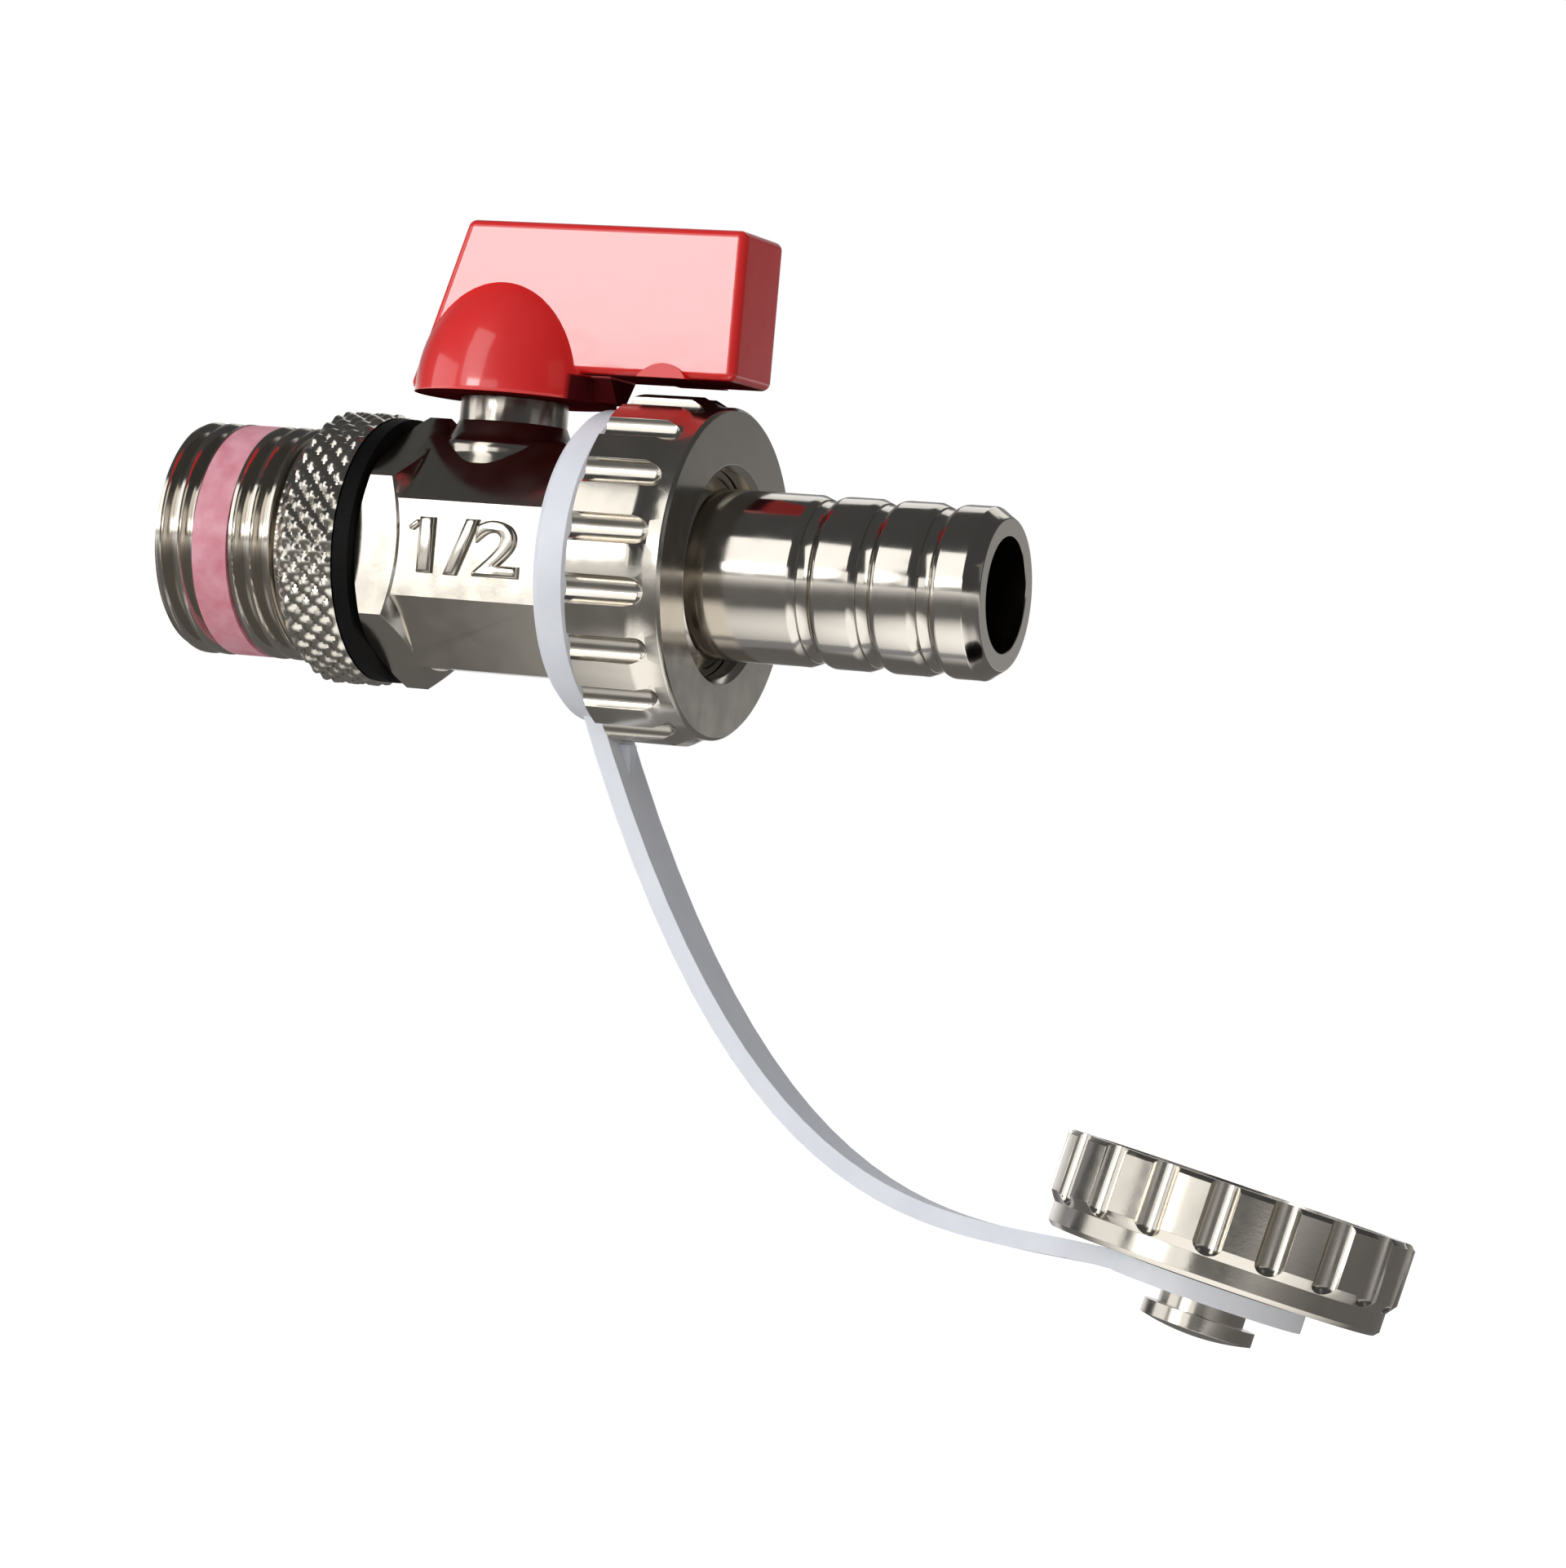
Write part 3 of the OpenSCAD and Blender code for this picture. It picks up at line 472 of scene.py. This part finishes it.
def cut_away(bm: bmesh.types.BMesh, x_mm: float, side: int) -> None:
    """Cuts off what lies beyond a plane across the valve's axis.

    Args:
        bm: The shape.
        x_mm: Where the plane is along X.
        side: 1 to cut off the outlet's side, -1 to cut off the inlet's.
    """
    bmesh.ops.bisect_plane(bm, geom=bm.verts[:] + bm.edges[:] + bm.faces[:],
                           plane_co=(x_mm * MM, 0, 0), plane_no=(side, 0, 0), clear_outer=True)


def ring_edges(bm: bmesh.types.BMesh, x_mm: float) -> list[bmesh.types.BMEdge]:
    """Gives the open edges that lie in the plane at x."""
    return [e for e in bm.edges
            if e.is_boundary and all(abs(v.co.x - x_mm * MM) < PLANE_MM * MM for v in e.verts)]


def grow_rings(bm: bmesh.types.BMesh, edges: list[bmesh.types.BMEdge],
               rings: Iterable[Ring]) -> list[bmesh.types.BMEdge]:
    """Extrudes an open ring about the valve's axis through further rings.

    Args:
        bm: The shape.
        edges: The open ring's edges.
        rings: Place along X and radius of each further ring, in millimetres.

    Returns:
        The edges of the last ring.
    """
    for x_mm, r_mm in rings:
        made = bmesh.ops.extrude_edge_only(bm, edges=edges)["geom"]
        edges = [g for g in made if isinstance(g, bmesh.types.BMEdge)]
        for vert in (g for g in made if isinstance(g, bmesh.types.BMVert)):
            stretch_radius(vert, r_mm * MM / radial(vert.co))
            vert.co.x = x_mm * MM
    return edges


def turned(rings: Iterable[Ring], steps: int, stem_x: float | None = None) -> bmesh.types.BMesh:
    """Spins a closed line of rings about the valve's axis, or about an upright one.

    Args:
        rings: Place along the axis and radius of each ring, in millimetres.
        steps: Steps round the circle.
        stem_x: Place along X of the upright axis; the valve's own axis if it is left out.

    Returns:
        The turned shape.
    """
    bm = bmesh.new()
    upright = stem_x is not None
    verts = [bm.verts.new(((stem_x + r) * MM, 0.0, a * MM) if upright else (a * MM, 0.0, r * MM))
             for a, r in rings]
    edges = [bm.edges.new(pair) for pair in zip(verts, verts[1:] + verts[:1])]
    bmesh.ops.spin(bm, geom=verts + edges, cent=(stem_x * MM if upright else 0, 0, 0),
                   axis=(0, 0, 1) if upright else (1, 0, 0), angle=2 * math.pi, steps=steps,
                   use_merge=True)
    bmesh.ops.remove_doubles(bm, verts=bm.verts[:], dist=MERGE_MM * MM)
    bmesh.ops.recalc_face_normals(bm, faces=bm.faces[:])
    return bm


@dataclass
class ValveBody:
    """The cast body with its inlet thread and the foot of its neck."""

    # The thread, cut flat at its crests and roots as much as the factor says
    thread_r: float = 10.4775
    thread_depth: float = 1.162
    pitch: float = 1.814
    crest_flat: float = 1.3
    chamfer: float = 0.5
    thread_end_x: float = 12.2
    core_r: float = 9.8965
    samples_per_pitch: int = 12
    steps: int = 96
    merge: float = 0.002
    # The groove of the sealing ring, under which the front length of the inlet ends
    groove_x: float = 3.85
    groove_end_x: float = 7.35
    groove_r: float = 9.1275
    lap: float = 0.1
    bore_r: float = 6.4
    bore_chamfer: float = 0.3
    # Where the thread's piece meets the casting, and which edges of the casting are rounded
    joint_x: float = 13.0
    rounding: float = 0.16
    rounded_from_r: float = 8.6
    # The neck: its axis, what counts as near it, and the height and radius of the foot's rings
    stem_x: float = 29.4
    neck_z: float = 7.5
    neck_foot_r: float = 8.6
    foot_line: tuple[Ring, ...] = (
        (11.85, 4.82), (11.2, 5.1), (10.7, 5.36), (10.25, 5.6), (10.08, 5.82), (9.9, 6.0), (9.65, 6.1),
        (9.35, 6.13), (9.05, 6.13), (8.85, 6.16), (8.6, 6.26), (7.95, 6.52), (7.9, 5.0),
    )

    def helix(self, start_x: float, end_x: float) -> bmesh.types.BMesh:
        """Makes the thread's surface between two planes.

        Args:
            start_x: Where it starts along X, in millimetres.
            end_x: Where it ends.

        Returns:
            A right-hand helical surface, open at both planes.
        """
        first = math.floor(start_x / self.pitch) - 2
        count = (math.ceil(end_x / self.pitch) + 1 - first) * self.samples_per_pitch
        bm = bmesh.new()
        verts = []
        for i in range(count + 1):
            x = (first + i / self.samples_per_pitch) * self.pitch
            wave = max(-1.0, min(1.0, self.crest_flat * math.cos(2 * math.pi * x / self.pitch)))
            radius = self.thread_r - self.thread_depth * (1 - wave) / 2
            verts.append(bm.verts.new((x * MM, 0.0, radius * MM)))
        edges = [bm.edges.new(pair) for pair in zip(verts, verts[1:])]
        bmesh.ops.spin(bm, geom=verts + edges, cent=(0, 0, 0), axis=(1, 0, 0),
                       dvec=(self.pitch * MM / self.steps, 0, 0), angle=2 * math.pi, steps=self.steps)
        bmesh.ops.remove_doubles(bm, verts=bm.verts[:], dist=self.merge * MM)
        cut_away(bm, start_x, -1)
        cut_away(bm, end_x, 1)
        return bm

    def inlet(self) -> bpy.types.Object:
        """Makes the threaded inlet, in two lengths that meet under the sealing ring.

        Returns:
            The inlet's piece.
        """
        front = self.helix(-self.chamfer, self.groove_x)
        for vert in front.verts:
            limit = (self.thread_r + min(0.0, vert.co.x / MM)) * MM
            if radial(vert.co) > limit:
                stretch_radius(vert, limit / radial(vert.co))
        lap_x = self.groove_end_x + self.lap
        edges = grow_rings(front, ring_edges(front, -self.chamfer),
                           [(-self.chamfer, self.bore_r + self.bore_chamfer),
                            (self.bore_chamfer - self.chamfer, self.bore_r), (lap_x, self.bore_r)])
        others = grow_rings(front, ring_edges(front, self.groove_x),
                            [(self.groove_x, self.groove_r), (lap_x, self.groove_r)])
        bmesh.ops.bridge_loops(front, edges=edges + others)
        back = self.helix(self.groove_end_x, self.thread_end_x)
        edges = grow_rings(back, ring_edges(back, self.groove_end_x),
                           [(self.groove_end_x, self.bore_r), (self.joint_x, self.bore_r)])
        others = grow_rings(back, ring_edges(back, self.thread_end_x),
                            [(self.thread_end_x, self.core_r), (self.joint_x, self.core_r)])
        bmesh.ops.bridge_loops(back, edges=edges + others)
        other = bpy.data.meshes.new("inlet_back")
        back.to_mesh(other)
        back.free()
        front.from_mesh(other)
        bpy.data.meshes.remove(other)
        bmesh.ops.recalc_face_normals(front, faces=front.faces[:])
        return piece_from(front, "inlet_thread", smooth_deg=40.0)

    def casting(self) -> bpy.types.Object:
        """Makes the body behind the thread, with its edges softened.

        Returns:
            The casting's piece.
        """
        bm = node_copy("body")
        cut_away(bm, self.joint_x, -1)
        bmesh.ops.bridge_loops(bm, edges=ring_edges(bm, self.joint_x))
        round_edges(bm, self.rounding, segments=3, keep=self.is_rounded)
        return piece_from(bm, "valve_body", smooth_deg=20.0, flats=True)

    def is_rounded(self, edge: bmesh.types.BMEdge) -> bool:
        """Says whether an edge is on the outside of the casting, away from the neck."""
        outside = min(radial(v.co) for v in edge.verts) > self.rounded_from_r * MM
        return outside and not all(self.near_neck(v.co) for v in edge.verts)

    def near_neck(self, point: Vector) -> bool:
        """Says whether a point lies on the neck or its foot."""
        across = math.hypot(point.x - self.stem_x * MM, point.y)
        return point.z > self.neck_z * MM and across < self.neck_foot_r * MM

    def foot(self) -> bpy.types.Object:
        """Makes the rounded foot on which the neck stands."""
        bm = turned(self.foot_line, self.steps, self.stem_x)
        return piece_from(bm, "neck_foot", smooth_deg=50.0)

    def build(self) -> None:
        """Builds the body's pieces and dresses them."""
        place(self.inlet(), "valve", TURNED_PLATE, "plated_body", "body")
        place(self.casting(), "valve", BODY_PLATE, "plated_body", "body")
        place(self.foot(), "valve", BODY_PLATE, "plated_body")


@dataclass
class CastSize:
    """The thread size, one half, cast proud on the front flat of the body."""

    text: str = "1/2"
    height: float = 6.5
    widened: float = 1.35
    proud: float = 0.2
    rounding: float = 0.28
    thinned: float = 0.06
    merge: float = 0.001
    spot: Spot = (30.45, -10.2, 0.05)
    # The flag of the figure one, a small rounded bar that leans
    flag_spot: Spot = (25.85, -10.3, 2.0)
    flag_size: Spot = (1.15, 0.66, 0.5)
    flag_lean_deg: float = -38.0
    flag_rounding: float = 0.18

    def figures(self) -> bmesh.types.BMesh:
        """Makes the figures and the stroke between them.

        Returns:
            Their closed shapes, upright on the flat.
        """
        curve = bpy.data.curves.new("size_text", "FONT")
        curve.body = self.text
        curve.size = self.height * MM
        curve.extrude = self.proud * MM
        curve.bevel_depth = self.rounding * MM
        curve.bevel_resolution = 2
        curve.offset = -self.thinned * MM
        curve.align_x, curve.align_y = "CENTER", "CENTER"
        holder = bpy.data.objects.new("size_holder", curve)
        bpy.context.scene.collection.objects.link(holder)
        bpy.context.view_layer.update()
        depsgraph = bpy.context.evaluated_depsgraph_get()
        mesh = bpy.data.meshes.new_from_object(holder.evaluated_get(depsgraph))
        bpy.data.objects.remove(holder)
        mesh.transform(Matrix.Translation([part * MM for part in self.spot])
                       @ Matrix.Rotation(math.radians(90), 4, "X")
                       @ Matrix.Diagonal((self.widened, 1.0, 1.0, 1.0)))
        bm = bmesh.new()
        bm.from_mesh(mesh)
        bmesh.ops.remove_doubles(bm, verts=bm.verts[:], dist=self.merge * MM)
        bmesh.ops.recalc_face_normals(bm, faces=bm.faces[:])
        bpy.data.meshes.remove(mesh)
        return bm

    def build(self) -> None:
        """Builds the numerals with the flag and dresses them."""
        bm = self.figures()
        flag = bmesh.ops.create_cube(bm, size=1.0)["verts"]
        lean = Matrix.Rotation(math.radians(self.flag_lean_deg), 4, "Y")
        bmesh.ops.transform(bm, verts=flag, matrix=Matrix.Translation(Vector(self.flag_spot) * MM)
                            @ Matrix.Scale(MM, 4) @ (lean @ Matrix.Diagonal((*self.flag_size, 1.0))))
        bmesh.ops.bevel(bm, geom=list({e for v in flag for e in v.link_edges}),
                        offset=self.flag_rounding * MM, segments=3, offset_type="OFFSET", profile=0.5,
                        affect="EDGES", clamp_overlap=True, material=-1)
        place(piece_from(bm, "cast_size"), "valve", BODY_PLATE, "plated_body")


@dataclass
class LockingCollar:
    """The knurled collar that runs on the inlet thread."""

    start_x: float = 12.3
    end_x: float = 18.6
    nose_r: float = 10.65
    nose_l: float = 1.6
    outer_r: float = 12.2
    bore_r: float = 9.9465
    back_edge: float = 0.3
    knurl_count: int = 36
    knurl_length: float = 2.0
    knurl_depth: float = 0.5
    knurl_flat: float = 0.35
    # How finely the surface is divided for the knurl, and what is left plain at the front and inside
    steps_per_knurl: int = 8
    nose_rows: int = 8
    rows: int = 22
    row_l: float = 0.2
    plain_front: float = 0.05
    plain_inside: float = 0.1

    def knurl(self, x: float, angle: float) -> float:
        """Gives the knurl's depth below its points.

        Args:
            x: Place along X, in millimetres.
            angle: Angle about the axis, in radians.

        Returns:
            The depth in millimetres.
        """
        along, around = x / self.knurl_length, angle * self.knurl_count / (2 * math.pi)
        ways = [abs((along + hand * around) % 1.0 - 0.5) * 2 for hand in (-1, 1)]
        sides = [(1 - way - self.knurl_flat) / (1 - self.knurl_flat) for way in ways]
        return self.knurl_depth * sum(max(0.0, min(1.0, side)) for side in sides) / 2

    def build(self) -> None:
        """Builds the collar and dresses it."""
        nose_h = self.outer_r - self.nose_r
        cone = [(self.start_x + self.nose_l * share, self.nose_r + nose_h * share)
                for share in (i / self.nose_rows for i in range(self.nose_rows + 1))]
        nose_end_x, edge_x = self.start_x + self.nose_l, self.end_x - self.back_edge
        straight = [(nose_end_x + i * self.row_l, self.outer_r) for i in range(1, self.rows + 1)]
        line = [(self.start_x, self.bore_r), *cone,
                *(ring for ring in straight if ring[0] < edge_x),
                (edge_x, self.outer_r), (self.end_x, self.outer_r - self.back_edge),
                (self.end_x, self.bore_r)]
        bm = turned(line, self.knurl_count * self.steps_per_knurl)
        for vert in bm.verts:
            x, r = vert.co.x / MM, radial(vert.co) / MM
            in_length = self.start_x + self.plain_front < x < self.end_x - self.back_edge / 2
            if in_length and r > self.nose_r - self.plain_inside:
                depth = self.knurl(x, math.atan2(vert.co.z, vert.co.y))
                stretch_radius(vert, (r - depth) / r)
        place(piece_from(bm, "knurled_collar", smooth_deg=25.0), "collar", TRIM_PLATE, "plated_trim",
              "locking_collar")


@dataclass
class SoftenedNode:
    """A piece whose solid is right as it is, apart from the small roundings of its edges."""

    node: str
    name: str
    body: str
    finish: Finish
    slot: str
    rounding: float

    def build(self) -> None:
        """Builds the softened copy and dresses it."""
        bm = node_copy(self.node)
        round_edges(bm, self.rounding)
        place(piece_from(bm, self.name, flats=True), self.body, self.finish, self.slot, self.node)


@dataclass
class Lever:
    """The lacquered lever, with the small forms under its blade turned and sloped as they are cast."""

    rounding: float = 0.25
    rounded_deg: float = 40.0
    # The blade: its underside and half its width, and how far a point may be off them
    blade_z: float = 16.4
    blade_y: float = 4.4
    slack: float = 0.05
    # The stop block under the blade: its points behind this place are drawn in along a slope
    block_x: float = 37.0
    block_keep_x: float = 0.6
    block_keep_y: float = 2.5
    block_slope: float = 0.65
    # The lug beside the blade: it rises from its foot, which stands out, to the blade's own side
    lug_from_x: float = 42.5
    lug_from_y: float = 0.3
    lug_h: float = 1.3
    lug_foot: float = 0.45

    def build(self) -> None:
        """Builds the lever and dresses it."""
        bm = node_copy("handle")
        for vert in bm.verts:
            x, y, z = (part / MM for part in vert.co)
            side = math.copysign(1.0, y)
            behind = x - self.block_x
            in_block = behind > self.block_keep_x and abs(y) > self.block_keep_y
            if z < self.blade_z - self.slack and in_block:
                vert.co.y -= side * self.block_slope * behind * MM
            elif x > self.lug_from_x and abs(y) > self.blade_y + self.lug_from_y:
                rise = max(0.0, min(1.0, (z - self.blade_z) / self.lug_h))
                vert.co.y = side * (self.blade_y + self.slack + self.lug_foot * (1 - rise)) * MM
        round_edges(bm, self.rounding, self.rounded_deg)
        place(piece_from(bm, "lacquered_lever", flats=True), "handle", RED_LACQUER, "red_lacquer",
              "handle")


@dataclass
class PlainNodes:
    """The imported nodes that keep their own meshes, each with its finish."""

    finishes: tuple[tuple[str, Finish, str], ...] = (
        ("ball", BALL_CHROME, "ball_chrome"),
        ("seat_inlet", WHITE_PTFE, "seat_plastic"),
        ("seat_outlet", WHITE_PTFE, "seat_plastic"),
        ("seat_retainer", BARE_BRASS, "bare_brass"),
        ("stem", BARE_BRASS, "bare_brass"),
        ("stem_oring_lower", BLACK_NITRILE, "black_rubber"),
        ("stem_oring_upper", BLACK_NITRILE, "black_rubber"),
        ("stem_thrust_washer", WHITE_PTFE, "seat_plastic"),
        ("handle_screw", SCREW_ZINC, "screw_steel"),
        ("handle_washer", SCREW_ZINC, "screw_steel"),
        ("thread_seal_ring", PINK_NYLON, "pink_plastic"),
        ("collar_gasket", BLACK_NITRILE, "black_rubber"),
        ("union_gasket", BLACK_NITRILE, "black_rubber"),
        ("cap_gasket", BLACK_NITRILE, "black_rubber"),
    )

    def build(self) -> None:
        """Dresses the nodes."""
        for node, finish, slot in self.finishes:
            dress(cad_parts[node], finish)
            LOG.info("%s: dressed", node)


@dataclass(frozen=True)
class Softbox:
    """A lamp with a plain rectangular face, as bright as its radiance, where 1 is white."""

    name: str
    spot: Spot
    width: float
    height: float
    radiance: float

    def hang(self, target: Spot) -> None:
        """Hangs the softbox.

        Args:
            target: What it faces.
        """
        lamp = bpy.data.lights.new(self.name, "AREA")
        lamp.shape = "RECTANGLE"
        lamp.size, lamp.size_y = self.width, self.height
        lamp.energy = self.radiance * math.pi * self.width * self.height
        holder = bpy.data.objects.new(self.name, lamp)
        holder.location = self.spot
        holder.rotation_euler = (Vector(self.spot) - Vector(target)).to_track_quat("Z", "Y").to_euler()
        bpy.context.scene.collection.objects.link(holder)


@dataclass
class Studio:
    """The camera, the pale floor and the soft light, in metres."""

    # The camera: focal length in pixels, place and axes
    focal_px: float = 5600.0
    eye: Spot = (0.20773, -0.36564, -0.01499)
    right: Spot = (0.92176, 0.37773, 0.08765)
    down: Spot = (0.08368, 0.02695, -0.99613)
    look: Spot = (-0.37863, 0.92553, -0.00677)
    # The floor, and how bright it is to the camera near the tap, in mirrors and as light from below
    floor_z: float = -0.115
    floor_r: float = 3.0
    floor_spot: Spot = (0.05, 0.0, -0.115)
    floor_shown: float = 0.78
    shown_band: Band = (0.07, 0.16)
    floor_mirrored: float = 0.04
    mirrored_band: Band = (0.35, 1.5)
    floor_bounce: float = 0.45
    paper_colour: str = "#73716F"
    # A bright card that lies on the floor for the mirrors alone
    card_spot: Spot = (0.085, -0.06, -0.115)
    card_glow: float = 1.35
    card_band: Band = (0.055, 0.12)
    # The room: its lit and its shaded side, and how dark mirrors see it
    lit_side: Spot = (-0.8, -0.52, 0.3)
    room: float = 0.78
    shaded_room: float = 0.12
    side_band: Band = (-0.7, 0.5)
    dark_room: float = 0.07
    room_colour: str = "#FAFBFF"
    # The white behind the tap that mirrors see, down to a share of it high up
    behind_band: Band = (0.65, 0.95)
    high_band: Band = (0.06, 0.14)
    high_white: float = 0.25
    middle: Spot = (0.045, 0.0, 0.0)
    softboxes: tuple[Softbox, ...] = (
        Softbox("upper_front_spot", (-0.335, -0.8, 0.135), 0.22, 0.12, 8.5),
        Softbox("lower_front_spot", (-0.37, -0.8, 0.015), 0.28, 0.1, 0.45),
        Softbox("middle_softbox", (-0.07, -0.95, 0.1), 0.3, 0.22, 1.3),
        Softbox("tall_softbox", (-0.46, -0.9, 0.46), 0.5, 0.9, 1.6),
        Softbox("left_softbox", (-1.05, -0.45, 0.12), 0.8, 0.6, 1.2),
        Softbox("front_right_softbox", (0.2, -1.15, 0.06), 0.5, 0.35, 0.12),
        Softbox("right_softbox", (1.1, -0.35, 0.4), 0.4, 0.4, 0.15),
        Softbox("back_softbox", (-0.1, 1.0, 0.8), 0.8, 0.5, 0.9),
    )

    def camera(self) -> None:
        """Sets the camera where the photograph was taken from."""
        data = bpy.data.cameras.new("camera")
        data.sensor_width = 36.0
        data.lens = self.focal_px / IMAGE_W * data.sensor_width
        data.clip_start, data.clip_end = 0.01, 20.0
        camera = bpy.data.objects.new("camera", data)
        axes = Matrix((self.right, [-c for c in self.down], [-c for c in self.look])).transposed()
        camera.matrix_world = Matrix.Translation(self.eye) @ axes.to_4x4()
        bpy.context.scene.collection.objects.link(camera)
        bpy.context.scene.camera = camera

    def paper(self) -> bpy.types.Material:
        """Makes the floor's matt paper, with its own brightness for each use.

        The camera sees it turn white away from the tap. Mirrors see it dark, with the bright card in
        front and white far off. Pale pieces get some light from it, as from any pale floor.

        Returns:
            The material.
        """
        made = bpy.data.materials.new("matt_white_paper")
        made.use_nodes = True
        tree = made.node_tree
        tree.nodes.clear()
        path = add_node(tree, "ShaderNodeLightPath")
        points = add_node(tree, "ShaderNodeTexCoord").outputs["Object"]
        reach, near = (add_node(tree, "ShaderNodeVectorMath", {"operation": "DISTANCE"},
                                values={1: spot}, links={0: points})
                       for spot in (self.floor_spot, self.card_spot))
        card = add_node(tree, "ShaderNodeMapRange",
                        values=spread(self.card_glow, self.floor_mirrored, self.card_band),
                        links={"Value": near.outputs["Value"]})
        far = add_node(tree, "ShaderNodeMapRange",
                       values=spread(self.floor_mirrored, 1.0, self.mirrored_band),
                       links={"Value": reach.outputs["Value"]})
        mirrored = add_node(tree, "ShaderNodeMath", {"operation": "MAXIMUM"},
                            links={0: card.outputs["Result"], 1: far.outputs["Result"]})
        seen = add_node(tree, "ShaderNodeMath", {"operation": "MAXIMUM"},
                        links={0: path.outputs["Is Camera Ray"],
                               1: path.outputs["Is Transmission Ray"]})
        white = add_node(tree, "ShaderNodeMapRange",
                         values=spread(self.floor_shown, 1.0, self.shown_band),
                         links={"Value": reach.outputs["Value"]})
        shown = add_node(tree, "ShaderNodeMath", {"operation": "MULTIPLY"},
                         links={0: seen.outputs["Value"], 1: white.outputs["Result"]})
        bounced = add_node(tree, "ShaderNodeMath", {"operation": "MULTIPLY_ADD"},
                           values={1: self.floor_bounce},
                           links={0: path.outputs["Is Diffuse Ray"], 2: shown.outputs["Value"]})
        strength = add_node(tree, "ShaderNodeMath", {"operation": "MULTIPLY_ADD"},
                            links={0: path.outputs["Is Glossy Ray"], 1: mirrored.outputs["Value"],
                                   2: bounced.outputs["Value"]})
        paper = add_node(tree, "ShaderNodeBsdfDiffuse", values={"Color": linear(self.paper_colour)})
        glow = add_node(tree, "ShaderNodeEmission", values={"Color": linear("#FFFFFF")},
                        links={"Strength": strength.outputs["Value"]})
        both = add_node(tree, "ShaderNodeAddShader",
                        links={0: paper.outputs["BSDF"], 1: glow.outputs["Emission"]})
        add_node(tree, "ShaderNodeOutputMaterial", links={"Surface": both.outputs["Shader"]})
        return made

    def floor(self) -> None:
        """Lays the pale floor."""
        bm = bmesh.new()
        bmesh.ops.create_circle(bm, cap_ends=True, segments=64, radius=self.floor_r)
        bmesh.ops.translate(bm, verts=bm.verts[:], vec=(0.0, 0.0, self.floor_z))
        floor = piece_from(bm, "studio_floor")
        floor.data.materials.append(self.paper())

    def world(self) -> None:
        """Fills the room with grey, and puts white behind the tap for the camera and mirrors."""
        world = bpy.data.worlds.new("studio_room")
        world.use_nodes = True
        bpy.context.scene.world = world
        tree = world.node_tree
        tree.nodes.clear()
        path = add_node(tree, "ShaderNodeLightPath")
        way = add_node(tree, "ShaderNodeTexCoord").outputs["Generated"]
        facing, side = (add_node(tree, "ShaderNodeVectorMath", {"operation": "DOT_PRODUCT"},
                                 values={1: axis}, links={0: way})
                        for axis in (self.look, self.lit_side))
        heading = add_node(tree, "ShaderNodeSeparateXYZ", links={"Vector": way})
        ahead = add_node(tree, "ShaderNodeMapRange", values=spread(0.0, 1.0, self.behind_band),
                         links={"Value": facing.outputs["Value"]})
        low = add_node(tree, "ShaderNodeMapRange",
                       values=spread(1.0, self.high_white, self.high_band),
                       links={"Value": heading.outputs["Z"]})
        behind = add_node(tree, "ShaderNodeMath", {"operation": "MULTIPLY"},
                          links={0: ahead.outputs["Result"], 1: low.outputs["Result"]})
        glossy = add_node(tree, "ShaderNodeMath", {"operation": "MULTIPLY"},
                          links={0: path.outputs["Is Glossy Ray"], 1: behind.outputs["Value"]})
        clear = add_node(tree, "ShaderNodeMath", {"operation": "MAXIMUM"},
                         links={0: path.outputs["Is Camera Ray"],
                                1: path.outputs["Is Transmission Ray"]})
        white = add_node(tree, "ShaderNodeMath", {"operation": "MAXIMUM"},
                         links={0: clear.outputs["Value"], 1: glossy.outputs["Value"]})
        fill = add_node(tree, "ShaderNodeMapRange",
                        values=spread(self.shaded_room, self.room, self.side_band),
                        links={"Value": side.outputs["Value"]})
        shade = add_node(tree, "ShaderNodeMapRange",
                         values={"From Max": 1.0, "To Max": self.dark_room},
                         links={"Value": path.outputs["Is Glossy Ray"],
                                "To Min": fill.outputs["Result"]})
        grey = add_node(tree, "ShaderNodeBackground", values={"Color": linear(self.room_colour)},
                        links={"Strength": shade.outputs["Result"]})
        backdrop = add_node(tree, "ShaderNodeBackground",
                            values={"Color": linear("#FFFFFF"), "Strength": 1.0})
        mixed = add_node(tree, "ShaderNodeMixShader",
                         links={0: white.outputs["Value"], 1: grey.outputs["Background"],
                                2: backdrop.outputs["Background"]})
        add_node(tree, "ShaderNodeOutputWorld", links={"Surface": mixed.outputs["Shader"]})

    def build(self) -> None:
        """Builds the camera and what surrounds the tap."""
        bpy.context.scene.view_settings.view_transform = "Standard"
        self.camera()
        self.world()
        self.floor()
        for softbox in self.softboxes:
            softbox.hang(self.middle)
            LOG.info("%s: hung", softbox.name)


def main() -> None:
    """Builds the scene, the camera first."""
    logging.basicConfig(level=logging.INFO, format="%(message)s")
    softened = (
        SoftenedNode("union_nut", "ribbed_union_nut", "nut", TRIM_PLATE, "plated_trim", 0.16),
        SoftenedNode("hose_tail", "ridged_hose_tail", "tail", TURNED_PLATE, "plated_trim", 0.12),
        SoftenedNode("blanking_cap", "ribbed_blanking_cap", "cap", TRIM_PLATE, "plated_trim", 0.15),
        SoftenedNode("strap", "moulded_strap", "strap", STRAP_PE, "strap_plastic", 0.22),
    )
    for part in (Studio(), ValveBody(), CastSize(), LockingCollar(), *softened, Lever(),
                 PlainNodes()):
        part.build()


if __name__ == "__main__":
    main()
